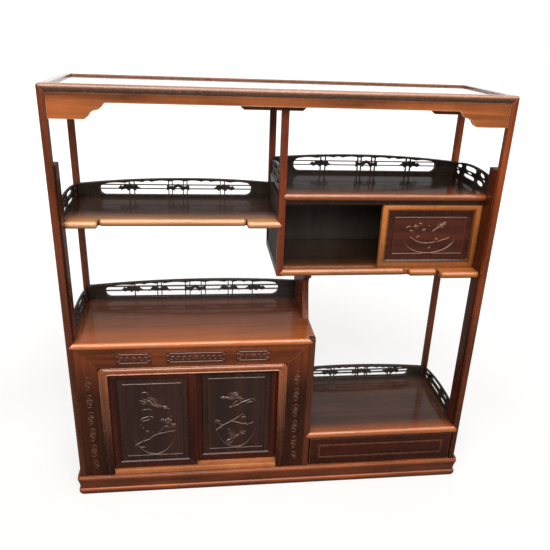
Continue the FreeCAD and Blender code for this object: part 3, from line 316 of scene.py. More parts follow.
# The tones differ by piece partly as the wood's own colour and partly as painted light: pieces high up and
# facing the lamp are given lighter tones, lower, inner and shaded pieces darker ones.
NODE_WOODS = {
    # painted shade: the left posts darken towards the bottom
    "left_front_post left_back_post cabinet_corner_post":
        rosewood("rosewood left posts", "z", (110, 54, 30), (176, 108, 74), roundness=0.004,
                 shade=(0.2, 0.9, 0.5)),
    # painted shade: the right posts darken towards the bottom
    "right_front_post right_back_post":
        rosewood("rosewood right posts", "z", (156, 74, 32), (190, 120, 82), roundness=0.004,
                 shade=(0.12, 0.8, 0.12)),
    "middle_front_post middle_back_post upright_board":
        rosewood("rosewood middle posts", "z", (108, 48, 26), (178, 104, 66), roundness=0.003),
    "side_stiles":
        rosewood("rosewood side stiles", "z", (84, 33, 13), (160, 90, 56), roundness=0.003, polish=0.15),
    # painted shade: the top rails darken over their lower part, under a lighter lit top
    "top_front_rail top_back_rail":
        rosewood("rosewood top rails", "x", (172, 112, 74), (226, 176, 146), roundness=0.006, polish=0.6,
                 coat=0.45, wear_and_highlight=0.2, contrast=0.5, shade=(0.951, 0.9585, 0.18), underside_shade=0.5),
    # painted shade: the side rails darken over their lower part
    "top_left_rail top_right_rail top_cross_batten":
        rosewood("rosewood side rails", "y", (150, 92, 64), (210, 150, 110), polish=0.8, coat=0.7, wear_and_highlight=0.2,
                 contrast=0.5, shade=(0.949, 0.957, 0.25)),
    "top_panel":
        rosewood("rosewood top panel", "x", (126, 84, 68), gloss=0.06, polish=1.0, wear_and_highlight=0.2, coat=1.0,
                 contrast=0.5),
    # painted shadow: the aprons darken towards their top, under the top rail, and their light lower arris is
    # partly a painted highlight
    "front_apron back_aprons":
        rosewood("rosewood aprons", "x", (160, 90, 48), (236, 190, 160), roundness=0.001, wear_and_highlight=1.0,
                 shade=(0.946, 0.926, 0.5)),
    "side_aprons":
        rosewood("rosewood side aprons", "y", (112, 62, 40), (190, 120, 80)),
    "upper_left_back_gallery upper_right_back_gallery cabinet_back_gallery drawer_unit_back_gallery":
        rosewood("dark rosewood back galleries", "x", (38, 28, 22), (120, 92, 68)),
    "upper_left_side_gallery upper_right_middle_gallery upper_right_side_gallery cabinet_side_gallery "
    "drawer_unit_side_gallery":
        rosewood("dark rosewood side galleries", "y", (38, 28, 22), (120, 92, 68)),
    "upper_left_shelf":
        shelf_wood("rosewood upper left shelf", "upper_left_shelf", (62, 35, 24), (240, 170, 114), step=0.018),
    "upper_right_shelf":
        shelf_wood("rosewood upper right shelf", "upper_right_shelf", (36, 22, 15), (168, 88, 34)),
    "box_bottom_board":
        shelf_wood("rosewood box bottom", "box_bottom_board", (58, 40, 30), (204, 120, 56), step=0.026),
    "cabinet_top":
        shelf_wood("rosewood cabinet top", "cabinet_top", (94, 46, 28), (226, 126, 58), reach=0.2),
    "drawer_unit_top":
        shelf_wood("rosewood drawer unit top", "drawer_unit_top", (80, 49, 37), (204, 110, 46), reach=0.05),
    "plinth_front_rail":
        rosewood("rosewood plinth front", "x", (158, 78, 34), (236, 160, 102), roundness=0.001, wear_and_highlight=0.6,
                 polish=0.25, coat=0.05, gloss=0.22, underside_shade=0.95),
    "plinth_side_rails":
        rosewood("rosewood plinth sides", "y", (104, 50, 26), (200, 130, 84), wear_and_highlight=0.6, underside_shade=0.8),
    # painted shade: the face frame darkens below its head rail
    "cabinet_face_frame":
        rosewood("rosewood face frame", "x", (116, 56, 27), (156, 86, 52),
                 mitre=mitre_of("cabinet_face_frame", FACE_MEMBER), polish=0.15, shade=(0.28, 0.36, 0.24)),
    # painted shade: the arch darkens towards the bottom
    "cabinet_arch_moulding":
        rosewood("rosewood door arch", "x", (178, 96, 54), (238, 184, 144),
                 mitre=mitre_of("cabinet_arch_moulding", ARCH_WIDTH), roundness=0.001, wear_and_highlight=0.7, polish=0.5,
                 shade=(0.10, 0.34, 0.4), underside_shade=0.6),
    # painted shade: the head rail under the shelf's nose takes a dark tone for the shade there
    "box_head_rail":
        rosewood("rosewood box head rail", "x", (46, 26, 18), (96, 58, 38)),
    "cabinet_sill cabinet_head_track":
        rosewood("rosewood sill and tracks", "x", (224, 134, 76), (245, 186, 140), wear_and_highlight=0.7, polish=0.4,
                 underside_shade=0.6),
    "drawer_front":
        rosewood("rosewood drawer front", "x", (58, 21, 10), (176, 112, 78), wear_and_highlight=0.8, polish=0.15),
    "left_door_frame":
        door_wood("left"),
    "right_door_frame":
        door_wood("right"),
    # painted shade: the box door's frame darkens over its lower rail and along its inside
    "box_door_frame":
        rosewood("rosewood box door", "x", (224, 132, 62), (245, 184, 126),
                 mitre=mitre_of("box_door_frame", BOX_DOOR_STILE, DOOR_RAIL), roundness=0.006, polish=0.5,
                 shade=(0.59, 0.69, 0.5), underside_shade=0.5, inner_band=(0.0065, 0.25)),
    "left_door_panel right_door_panel":
        rosewood("dark rosewood door panels", "z", (58, 30, 21), (170, 128, 104), wear_and_highlight=0.7),
    "box_door_panel":
        rosewood("dark rosewood box door panel", "x", (72, 32, 20), (206, 140, 98), wear_and_highlight=0.7),
    "box_left_panel box_right_panel box_back_panel":
        rosewood("dark boards of the box", "z", (66, 58, 51), (104, 84, 68), gloss=0.5, contrast=0.3),
    "cabinet_left_panel cabinet_partition cabinet_back_panel drawer_unit_right_panel":
        rosewood("dark inner boards upright", "z", (48, 29, 21), (92, 58, 40), gloss=0.42),
    "base_board plinth_back_rail drawer_unit_back_panel drawer_guide drawer_sides drawer_back "
    "drawer_bottom":
        rosewood("dark inner boards across", "x", (48, 29, 21), (92, 58, 40), gloss=0.42),
}
carving_wood = carved_rosewood("carved dark rosewood doors", "z", (48, 24, 17), (172, 150, 134))
box_carving_wood = carved_rosewood("carved rosewood box door", "x", (70, 29, 18), (160, 120, 92))
face_carving_wood = carved_rosewood("carved rosewood face rail", "x", (78, 36, 20), (156, 104, 70))
stile_carving_wood = carved_rosewood("carved rosewood face stiles", "z", (62, 28, 17), (126, 84, 58))

wood_of = {node: wood for nodes, wood in NODE_WOODS.items() for node in nodes.split()}
for name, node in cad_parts.items():
    node.data.materials.clear()
    node.data.materials.append(wood_of[name])


# Making pieces

MERGE_DISTANCE = 1e-6


def placed(name, mesh, body, slot, *replaced):
    """A finished mesh as a piece that rides on a body, in the place of the nodes that are named."""
    piece = bpy.data.objects.new(name, mesh)
    bpy.context.scene.collection.objects.link(piece)
    if replaced:
        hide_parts(*replaced)
    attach(piece, body)


def close_shell(mesh):
    """Merge a mesh's doubled points and turn its faces outwards."""
    shell = bmesh.new()
    shell.from_mesh(mesh)
    bmesh.ops.remove_doubles(shell, verts=shell.verts, dist=MERGE_DISTANCE)
    bmesh.ops.recalc_face_normals(shell, faces=shell.faces)
    shell.to_mesh(mesh)
    shell.free()


def cornered_line(left, right, edge, inwards, ends, radius, steps):
    """A line round three sides of a rectangle, with its two corners rounded."""
    turn = np.linspace(0, math.pi / 2, steps + 1)
    first = np.stack([left + radius - radius * np.cos(turn),
                      edge + inwards * (radius - radius * np.sin(turn))], 1)
    second = np.stack([left + right - first[::-1, 0], first[::-1, 1]], 1)
    return np.concatenate([[(left, ends)], first, second, [(right, ends)]])


def swept_mesh(name, starts, ends, section, place, woods, which=lambda number: 0):
    """A closed moulding, whose section has shares of the way from a start to an end, and levels."""
    shell = bmesh.new()
    rings = [[shell.verts.new(place(start + share * (end - start), level)) for share, level in section]
             for start, end in zip(starts, ends)]
    for number, (ring, following) in enumerate(zip(rings[:-1], rings[1:])):
        for corners in zip(ring, ring[1:] + ring[:1], following[1:] + following[:1], following):
            side = shell.faces.new(corners)
            side.smooth = True
            side.material_index = which(number)
    shell.faces.new(rings[0])
    shell.faces.new(rings[-1][::-1])
    bmesh.ops.recalc_face_normals(shell, faces=shell.faces)
    mesh = bpy.data.meshes.new(name)
    shell.to_mesh(mesh)
    shell.free()
    for wood in woods:
        mesh.materials.append(wood)
    return mesh


# Carving

FULL_LIFT = 2.0         # the height, in millimetres, that the finish takes as a full crest
SUNK = 0.25             # how far a carving's back lies inside its panel
PANEL_MARGIN = 16.0     # from a panel's edge in the groove to its raised field
PATH_STEPS = 8          # points for each stretch of a curve
OVAL_POINTS = 97


class Relief:
    """A carved field: heights above a flat panel, raised by rounded strokes.

    Sizes are in millimetres, and the strokes' places are measured from the middle of the field.
    """

    def __init__(self, left, right, bottom, top, front, grid=0.7, fineness=1.0):
        self.front, self.fineness = front, fineness
        self.middle = np.array([(left + right) / 2, (bottom + top) / 2])
        self.x = np.linspace(left, right, round((right - left) / grid) + 1)
        self.z = np.linspace(bottom, top, round((top - bottom) / grid) + 1)
        self.height = np.zeros((len(self.z), len(self.x)))

    def raise_to(self, path, radii, heights, crown):
        """Lift the ground to a rounded ridge along a path with a radius and a height at each of its points."""
        path = path + self.middle
        for a, b, ra, rb, ha, hb in zip(path[:-1], path[1:], radii[:-1], radii[1:], heights[:-1], heights[1:]):
            reach = max(ra, rb)
            i0, i1 = np.searchsorted(self.x, [min(a[0], b[0]) - reach, max(a[0], b[0]) + reach])
            j0, j1 = np.searchsorted(self.z, [min(a[1], b[1]) - reach, max(a[1], b[1]) + reach])
            if i0 == i1 or j0 == j1:
                continue
            px, pz = np.meshgrid(self.x[i0:i1], self.z[j0:j1])
            run = b - a
            share = np.clip(((px - a[0]) * run[0] + (pz - a[1]) * run[1]) / max(run @ run, 1e-9), 0, 1)
            away = np.hypot(px - a[0] - share * run[0], pz - a[1] - share * run[1])
            radius = ra + share * (rb - ra)
            round_top = np.sqrt(np.clip(1 - (away / np.maximum(radius, 0.05)) ** 2, 0, 1)) ** crown
            window = self.height[j0:j1, i0:i1]
            np.maximum(window, round_top * (ha + share * (hb - ha)), out=window)

    def leaf(self, points, width, height, crown=1.0):
        """A blade, feather or petal: pointed at both ends."""
        width = width * self.fineness
        path = smooth_path(points)
        share = np.linspace(0, 1, len(path))
        swell = np.sin(np.pi * share ** 0.8) ** 0.75
        self.raise_to(path, width / 2 * swell, height * (0.35 + 0.65 * swell), crown)

    def stem(self, points, start_width, end_width, height):
        """A twig or a ring: its width runs from one end's to the other's."""
        start_width, end_width = start_width * self.fineness, end_width * self.fineness
        path = smooth_path(points)
        share = np.linspace(0, 1, len(path))
        width = start_width + share * (end_width - start_width)
        self.raise_to(path, width / 2, height * np.ones(len(path)), 1.0)

    def ball(self, x, z, radius, height):
        here = np.array([(x, z), (x + 0.01, z)])
        self.raise_to(here, np.array([radius, radius]), np.array([height, height]), 1.0)

    def oval(self, half_width, half_height, width, height):
        """A ring round the scene, worn thin above and crisp below."""
        turn = np.linspace(0, 2 * math.pi, OVAL_POINTS)
        ring = np.stack([half_width * np.cos(turn), half_height * np.sin(turn)], 1)
        crisp = np.clip(0.5 - 1.4 * np.sin(turn), 0.0, 1.0)
        self.raise_to(ring, width / 2 * (0.6 + 0.5 * crisp), height * (0.25 + 0.9 * crisp), 1.0)

    def blossom(self, x, z, radius, height=1.5, turn=0.0):
        """An open five-petalled flower with a raised middle."""
        for petal in range(5):
            angle = turn + petal * 2 * math.pi / 5
            away = radius * 0.58
            self.ball(x + away * math.cos(angle), z + away * math.sin(angle), radius * 0.45, height)
        self.ball(x, z, radius * 0.24, height * 1.25)

    def bud(self, x, z, radius, angle):
        tip = (x + 2.2 * radius * math.cos(angle), z + 2.2 * radius * math.sin(angle))
        self.leaf([(x, z), tip], radius * 1.7, 1.3)

    def fan(self, root, angle, opening, lengths, width, height):
        """Feathers spread from a root, each a blade of its own."""
        for number, length in enumerate(lengths):
            share = number / (len(lengths) - 1) - 0.5
            bearing = angle + share * opening
            bend = bearing - 0.35 * share
            middle = (root[0] + 0.55 * length * math.cos(bearing), root[1] + 0.55 * length * math.sin(bearing))
            tip = (middle[0] + 0.5 * length * math.cos(bend), middle[1] + 0.5 * length * math.sin(bend))
            self.leaf([root, middle, tip], width, height * (0.8 + 0.2 * (number % 2)))

    def bird(self, x, z, facing, size, wing, far_wing):
        """A small bird in flight: body, head, beak, tail and two wings, turned to face an angle."""
        ahead = np.array([math.cos(facing), math.sin(facing)])
        here = np.array([x, z])
        self.fan(here - ahead * size * 0.30, facing + math.pi, 0.75,
                 [size * 0.52, size * 0.62, size * 0.50], size * 0.12, 1.2)
        self.fan(here + ahead * size * 0.10, far_wing, 0.7,
                 [size * 0.50, size * 0.58, size * 0.52, size * 0.40], size * 0.13, 1.1)
        self.leaf([here - ahead * size * 0.45, here, here + ahead * size * 0.36], size * 0.27, 1.9, 0.8)
        self.fan(here + ahead * size * 0.05, wing, 0.95,
                 [size * 0.46, size * 0.62, size * 0.70, size * 0.64, size * 0.48], size * 0.14, 1.8)
        head = here + ahead * size * 0.38
        self.ball(head[0], head[1], size * 0.10, 2.0)
        self.leaf([head, head + ahead * size * 0.24], size * 0.07, 1.4)

    def border(self, inset, width, height):
        """A fine bead that follows the field's edge."""
        def bead(places):
            away = np.minimum(abs(places - places[0] - inset), abs(places[-1] - places - inset))
            return height * np.sqrt(np.clip(1 - (2 * away / width) ** 2, 0, 1))

        def within(places):
            return (places >= places[0] + inset) & (places <= places[-1] - inset)

        upright = bead(self.x)[None, :] * within(self.z)[:, None]
        level = bead(self.z)[:, None] * within(self.x)[None, :]
        self.height = np.maximum(self.height, np.maximum(upright, level))

    def piece(self, name, body, slot, material, ground=0.12):
        """The field as a closed solid whose back lies a little inside the panel."""
        rows, columns = self.height.shape
        gx, gz = np.meshgrid(self.x, self.z)
        face = np.stack([gx, self.front - ground - self.height, gz], 2).reshape(-1, 3)
        number = np.arange(rows * columns).reshape(rows, columns)
        rim = np.concatenate([number[0, :-1], number[:-1, -1], number[-1, :0:-1], number[:0:-1, 0]])
        back = face[rim].copy()
        back[:, 1] = self.front + SUNK
        middle = np.array([[self.middle[0], self.front + SUNK, self.middle[1]]])
        points = np.concatenate([face, back, middle]) / 1000
        quads = np.stack([number[:-1, :-1], number[:-1, 1:], number[1:, 1:], number[1:, :-1]], 2).reshape(-1, 4)
        count, first = len(rim), len(face)
        step = np.arange(count)
        following = (step + 1) % count
        walls = np.stack([rim[following], rim[step], first + step, first + following], 1)
        fan = np.stack([first + following, first + step, np.full(count, first + count)], 1)
        mesh = bpy.data.meshes.new(name)
        mesh.from_pydata(points.tolist(), [], quads.tolist() + walls.tolist() + fan.tolist())
        smooth = np.zeros(len(mesh.polygons), bool)
        smooth[:len(quads)] = True
        mesh.polygons.foreach_set("use_smooth", smooth)
        lift = np.concatenate([self.height.reshape(-1) / FULL_LIFT, np.zeros(count + 1)])
        mesh.attributes.new("lift", "FLOAT", "POINT").data.foreach_set("value", lift)
        mesh.materials.append(material)
        placed(name, mesh, body, slot)


def smooth_path(points):
    """A curve through the given points."""
    points = np.array(points, float)
    ends = np.concatenate([[2 * points[0] - points[1]], points, [2 * points[-1] - points[-2]]])
    path = []
    for a, b, c, d in zip(ends[:-3], ends[1:-2], ends[2:-1], ends[3:]):
        for share in np.linspace(0, 1, PATH_STEPS, endpoint=False):
            path.append(0.5 * (2 * b + (c - a) * share + (2 * a - 5 * b + 4 * c - d) * share ** 2
                               + (3 * b - a - 3 * c + d) * share ** 3))
    path.append(points[-1])
    return np.array(path)


def panel_relief(node, grid=0.7, fineness=0.8):
    """The raised field of a door panel, still flat."""
    low, high = [corner * 1000 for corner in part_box(node)]
    return Relief(low.x + PANEL_MARGIN, high.x - PANEL_MARGIN, low.z + PANEL_MARGIN, high.z - PANEL_MARGIN,
                  low.y, grid, fineness)


def carve_left_door():
    r = panel_relief("left_door_panel")
    r.border(1.8, 3.2, 1.0)
    r.oval(58, 98, 2.0, 1.1)
    r.bird(10, 42, -0.35, 50, 2.35, 1.25)
    r.leaf([(-26, 77), (-17, 79), (-8, 77)], 3.0, 1.2)
    r.leaf([(-14, 75), (-6, 72)], 2.2, 1.0)
    r.stem([(-24, 31), (-12, 32), (-2, 29)], 2.6, 1.2, 1.2)
    r.leaf([(-33, 2), (-22, 8), (-6, 13)], 4.2, 1.5)
    r.leaf([(-30, -2), (-16, 1), (-4, 6)], 3.4, 1.2)
    r.leaf([(-8, 12), (1, 8)], 3.2, 1.3)
    r.bud(-32, -14, 2.4, 1.3)
    r.bud(-27, -22, 2.0, 0.6)
    r.stem([(-46, -70), (-30, -60), (-14, -54), (-2, -44), (14, -38), (50, -31)], 2.8, 1.4, 1.5)
    r.stem([(4, -43), (16, -28), (26, -14), (30, 2)], 2.3, 1.2, 1.4)
    r.stem([(-30, -60), (-22, -46), (-18, -36)], 2.6, 1.0, 1.3)
    r.blossom(34, -4, 9.5, 1.7, 0.3)
    r.blossom(46, -18, 7.5, 1.5, 0.9)
    r.blossom(22, -2, 6.5, 1.4, 0.1)
    r.blossom(30, -22, 6.0, 1.4, 1.2)
    r.blossom(-17, -33, 5.0, 1.4, 0.5)
    r.bud(40, 7, 2.2, 1.2)
    r.bud(-2, -36, 2.0, 1.9)
    r.leaf([(-38, -78), (-28, -76), (-18, -79)], 3.0, 1.2)
    r.piece("left_door_carving", "left_door", "carved_panel_wood", carving_wood)


def carve_right_door():
    r = panel_relief("right_door_panel")
    r.border(1.8, 3.2, 1.0)
    r.oval(56, 98, 2.0, 1.1)
    r.bird(-16, 46, 3.02, 40, 0.55, 0.95)
    r.leaf([(-12, 22), (-2, 34), (10, 46)], 4.0, 1.6)
    r.leaf([(-13, 19), (2, 26), (14, 31)], 3.4, 1.3)
    r.ball(-14, 20, 2.6, 1.8)
    r.leaf([(6, 30), (24, 37), (40, 44)], 3.6, 1.5)
    r.leaf([(38, 44), (44, 38), (50, 30)], 3.4, 1.3)
    r.leaf([(20, 28), (32, 33), (44, 34)], 2.6, 1.1)
    r.stem([(-50, -46), (-32, -32), (-12, -20), (10, -5)], 2.8, 1.4, 1.5)
    r.stem([(-32, -32), (-42, -26), (-50, -14)], 3.0, 1.4, 1.4)
    r.stem([(-12, -20), (6, -26), (26, -32), (38, -28)], 2.6, 1.2, 1.4)
    r.blossom(-46, -22, 6.5, 1.5, 0.4)
    r.blossom(-38, -40, 5.0, 1.5, 1.0)
    r.blossom(18, -12, 5.5, 1.5, 0.2)
    r.blossom(22, -32, 5.0, 1.4, 0.8)
    r.bud(12, -4, 2.4, 0.6)
    r.bud(-20, -44, 2.2, -0.4)
    r.bud(38, -28, 2.2, 0.4)
    r.bird(-6, -70, 3.7, 40, 1.75, 0.55)
    r.leaf([(-22, -90), (-12, -84), (-4, -76)], 2.8, 1.2)
    r.piece("right_door_carving", "right_door", "carved_panel_wood", carving_wood)


def carve_box_door():
    r = panel_relief("box_door_panel", grid=0.6, fineness=0.75)
    r.border(1.6, 2.8, 0.9)
    r.oval(63, 41, 1.9, 1.1)
    r.bird(18, 19, -2.5, 27, 0.45, 1.15)
    r.stem([(-44, -4), (-30, -12), (-12, -17), (6, -16), (26, -12), (46, -5)], 2.8, 1.3, 1.5)
    r.stem([(-38, -9), (-40, 4), (-34, 16)], 2.8, 1.2, 1.4)
    r.stem([(-12, -17), (-8, -4), (-12, 8)], 2.4, 1.0, 1.3)
    r.stem([(4, -16), (6, -24), (4, -32)], 2.0, 1.0, 1.2)
    r.blossom(-34, 20, 6.0, 1.5, 0.5)
    r.blossom(-24, 26, 5.0, 1.4, 1.1)
    r.blossom(-44, 10, 4.4, 1.4, 0.2)
    r.blossom(-14, 12, 5.0, 1.4, 0.7)
    r.blossom(-26, -4, 4.6, 1.4, 0.9)
    r.blossom(18, -10, 4.4, 1.4, 0.1)
    r.blossom(4, -30, 3.6, 1.3, 0.6)
    r.bud(44, -6, 2.0, 0.5)
    r.bud(-4, 22, 1.8, 1.0)
    r.leaf([(-58, 18), (-50, 22), (-42, 21)], 3.2, 1.2)
    r.piece("box_door_carving", "box_door", "carved_panel_wood", box_carving_wood)


CARTOUCHES = {"left": (-370, -291), "middle": (-258, -122), "right": (-99, -20)}
CARTOUCHE_BOTTOM, CARTOUCHE_TOP = 359, 391
CARTOUCHE_EDGE = 2.5     # from the cartouche's end to the fret
CARTOUCHE_LINE = 11      # from the middle to the fret's upper and lower lines
CARTOUCHE_NOTCH = 5      # the steps at the fret's four corners
SCROLL_STEP = 13         # from one scroll of the filling to the next


def carve_face_rail():
    """Three sunk cartouches with a key fret, a scroll and a flower on the head of the face frame."""
    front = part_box("cabinet_face_frame")[0].y * 1000
    for name, (left, right) in CARTOUCHES.items():
        r = Relief(left, right, CARTOUCHE_BOTTOM, CARTOUCHE_TOP, front, grid=0.6)
        half = (right - left) / 2 - CARTOUCHE_EDGE
        for level in (-CARTOUCHE_LINE, CARTOUCHE_LINE):
            r.stem([(CARTOUCHE_NOTCH - half, level), (half - CARTOUCHE_NOTCH, level)], 2.2, 2.2, 1.0)
        for side in (-1, 1):
            end = side * half
            notch = end - side * CARTOUCHE_NOTCH
            r.stem([(notch, -CARTOUCHE_LINE), (notch, -6), (end, -6), (end, 0)], 2.0, 2.0, 1.0)
            r.stem([(end, 0), (end, 6), (notch, 6), (notch, CARTOUCHE_LINE)], 2.0, 2.0, 1.0)
            for step in range(1, 2 + round(half / (2 * SCROLL_STEP))):
                a = side * step * SCROLL_STEP
                r.stem([(a - side * 5, -3), (a, 4), (a + side * 5, 1), (a + side * 2, -3)], 2.2, 1.4, 1.1)
                r.leaf([(a + side * 2, -4), (a + side * 7, -6)], 2.4, 1.0)
        r.blossom(0, 0, 6.5, 1.2, math.pi / 2)
        r.piece("face_rail_carving_" + name, "cabinet", "face_wood", face_carving_wood, ground=0.05)


# Moulding round the doors

ARCH_OUTER_CORNER = 0.012
ARCH_INNER_CORNER = 0.005
ARCH_CORNER_STEPS = 8
# across the moulding from its inner edge, and how far it stands forward, as shares
ARCH_SECTION = ((0.0, 0.0), (0.0, 0.5), (0.03, 0.78), (0.08, 0.9), (0.14, 0.84), (0.19, 0.7), (0.26, 0.76),
                (0.38, 0.92), (0.52, 1.0), (0.66, 0.97), (0.78, 0.84), (0.83, 0.7), (0.88, 0.82), (0.93, 0.88),
                (0.98, 0.74), (1.0, 0.5), (1.0, 0.0))


def door_arch():
    """The moulding round three sides of the door opening: a bead, a round and a bead, with rounded corners."""
    low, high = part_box("cabinet_arch_moulding")
    inner, outer = [cornered_line(low.x + inset, high.x - inset, high.z - inset, -1, low.z, radius,
                                  ARCH_CORNER_STEPS)
                    for radius, inset in ((ARCH_INNER_CORNER, ARCH_WIDTH), (ARCH_OUTER_CORNER, 0.0))]
    mesh = swept_mesh("door_arch", inner, outer, ARCH_SECTION,
                      lambda point, forward: (point[0], high.y - forward * (high.y - low.y), point[1]),
                      [wood_of["cabinet_arch_moulding"]])
    placed("door_arch", mesh, "cabinet", "apron_wood", "cabinet_arch_moulding")


door_arch()


# Moulding of the plinth

PLINTH_RAIL_WIDTH = 0.028
PLINTH_OUTER_CORNER = 0.008
PLINTH_INNER_CORNER = 0.003
PLINTH_CORNER_STEPS = 6
PLINTH_ARRIS = math.radians(50)
# from the rail's outermost line inwards, and the height above the floor, in millimetres
PLINTH_SECTION = ((28.0, 54.0), (3.0, 54.0), (1.9, 53.6), (1.2, 52.6), (1.3, 51.4), (2.2, 50.5), (1.3, 49.5),
                  (0.5, 48.2), (0.1, 46.4), (0.0, 44.0), (0.4, 41.4), (1.1, 38.8), (2.0, 35.0), (2.8, 30.6),
                  (3.5, 26.0), (4.2, 20.0), (4.8, 17.2), (3.4, 16.4), (2.1, 14.8), (1.2, 12.4), (0.9, 9.6),
                  (1.2, 7.0), (2.1, 4.4), (3.3, 2.0), (4.6, 0.0), (28.0, 0.0))


def plinth_moulding():
    """The plinth's front and side rails: a fillet and a full bead above, a shallow hollow, and a foot bead."""
    low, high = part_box("plinth_side_rails")
    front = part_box("plinth_front_rail")[0].y
    outer, inner = [cornered_line(low.x + inset, high.x - inset, front + inset, 1, high.y, radius,
                                  PLINTH_CORNER_STEPS)
                    for radius, inset in ((PLINTH_OUTER_CORNER, 0.0), (PLINTH_INNER_CORNER, PLINTH_RAIL_WIDTH))]
    section = [(inset / 1000 / PLINTH_RAIL_WIDTH, height / 1000) for inset, height in PLINTH_SECTION]
    half_corner, last = PLINTH_CORNER_STEPS // 2, len(outer) - 2
    mesh = swept_mesh("plinth_moulding", outer, inner, section,
                      lambda point, height: (point[0], point[1], height),
                      [wood_of["plinth_front_rail"], wood_of["plinth_side_rails"]],
                      lambda number: int(number <= half_corner or number >= last - half_corner))
    mesh.set_sharp_from_angle(angle=PLINTH_ARRIS)
    placed("plinth_moulding", mesh, "cabinet", "face_wood", "plinth_front_rail", "plinth_side_rails")


plinth_moulding()


# Side galleries

SIDE_GALLERY_THICKNESS = 0.005
SIDE_GALLERY_HEIGHTS = (0.029, 0.043, 0.036)
SIDE_GALLERY_STEPS = 24
OPENING_CORNERS = 16
# each opening's middle and half size, as shares of the length from the back post and of the height there,
# and how square it is
SIDE_OPENINGS = ((0.465, 0.755, 0.160, 0.130, 0.5), (0.445, 0.510, 0.075, 0.055, 0.8),
                 (0.440, 0.300, 0.160, 0.110, 0.5), (0.150, 0.775, 0.078, 0.105, 0.7),
                 (0.088, 0.575, 0.048, 0.070, 1.0), (0.125, 0.315, 0.055, 0.150, 1.0),
                 (0.775, 0.745, 0.072, 0.125, 1.0), (0.830, 0.520, 0.045, 0.075, 1.0),
                 (0.740, 0.275, 0.088, 0.135, 0.8))


def side_gallery(node):
    """A thin arched board across the end of a shelf, pierced with rounded openings round a small cross bar."""
    low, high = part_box(node)
    length = high.y - low.y
    back_height, middle_height, front_height = SIDE_GALLERY_HEIGHTS

    def height_at(along):
        rise = middle_height - (back_height + front_height) / 2
        return back_height + along * (front_height - back_height) + rise * (1 - (2 * along - 1) ** 2)

    shape = bpy.data.curves.new(node, "CURVE")
    shape.dimensions, shape.fill_mode = "2D", "BOTH"
    shape.extrude = SIDE_GALLERY_THICKNESS / 2

    def line(points):
        spline = shape.splines.new("POLY")
        spline.points.add(len(points) - 1)
        for point, (y, z) in zip(spline.points, points):
            point.co = (y, z, 0.0, 1.0)
        spline.use_cyclic_u = True

    shares = np.linspace(0, 1, SIDE_GALLERY_STEPS + 1)
    line([(high.y - length * share, low.z + height_at(share)) for share in shares]
         + [(low.y, low.z), (high.y, low.z)])
    for along, up, half_along, half_up, squareness in SIDE_OPENINGS:
        points = []
        for turn in np.linspace(0, 2 * math.pi, OPENING_CORNERS, endpoint=False) + math.pi / OPENING_CORNERS:
            across = math.copysign(abs(math.cos(turn)) ** squareness, math.cos(turn))
            over = math.copysign(abs(math.sin(turn)) ** squareness, math.sin(turn))
            share = along + half_along * across
            points.append((high.y - length * share, low.z + (up + half_up * over) * height_at(share)))
        line(points)
    drawn = bpy.data.objects.new(node, shape)
    bpy.context.scene.collection.objects.link(drawn)
    mesh = bpy.data.meshes.new_from_object(drawn.evaluated_get(bpy.context.evaluated_depsgraph_get()))
    bpy.data.objects.remove(drawn)
    # drawn flat in y and z, and stood upright in the middle of the solid board's place
    mesh.transform(Matrix(((0, 0, 1, (low.x + high.x) / 2), (1, 0, 0, 0), (0, 1, 0, 0), (0, 0, 0, 1))))
    close_shell(mesh)
    mesh.materials.clear()
    mesh.materials.append(wood_of[node])
    placed(node.replace("_gallery", "_fretwork"), mesh, "cabinet", "gallery_wood", node)


for node in ("upper_left_side_gallery", "upper_right_middle_gallery", "upper_right_side_gallery",
             "cabinet_side_gallery", "drawer_unit_side_gallery"):
    side_gallery(node)


# Scrolls of the face stiles

ROW_LIFT = 0.62          # how high the finish takes the scrolls to stand
ROW_CENTRES = {"left": -0.436, "right": 0.046}
ROW_COUNT, ROW_START, ROW_STEP = 11, 0.092, 0.0232


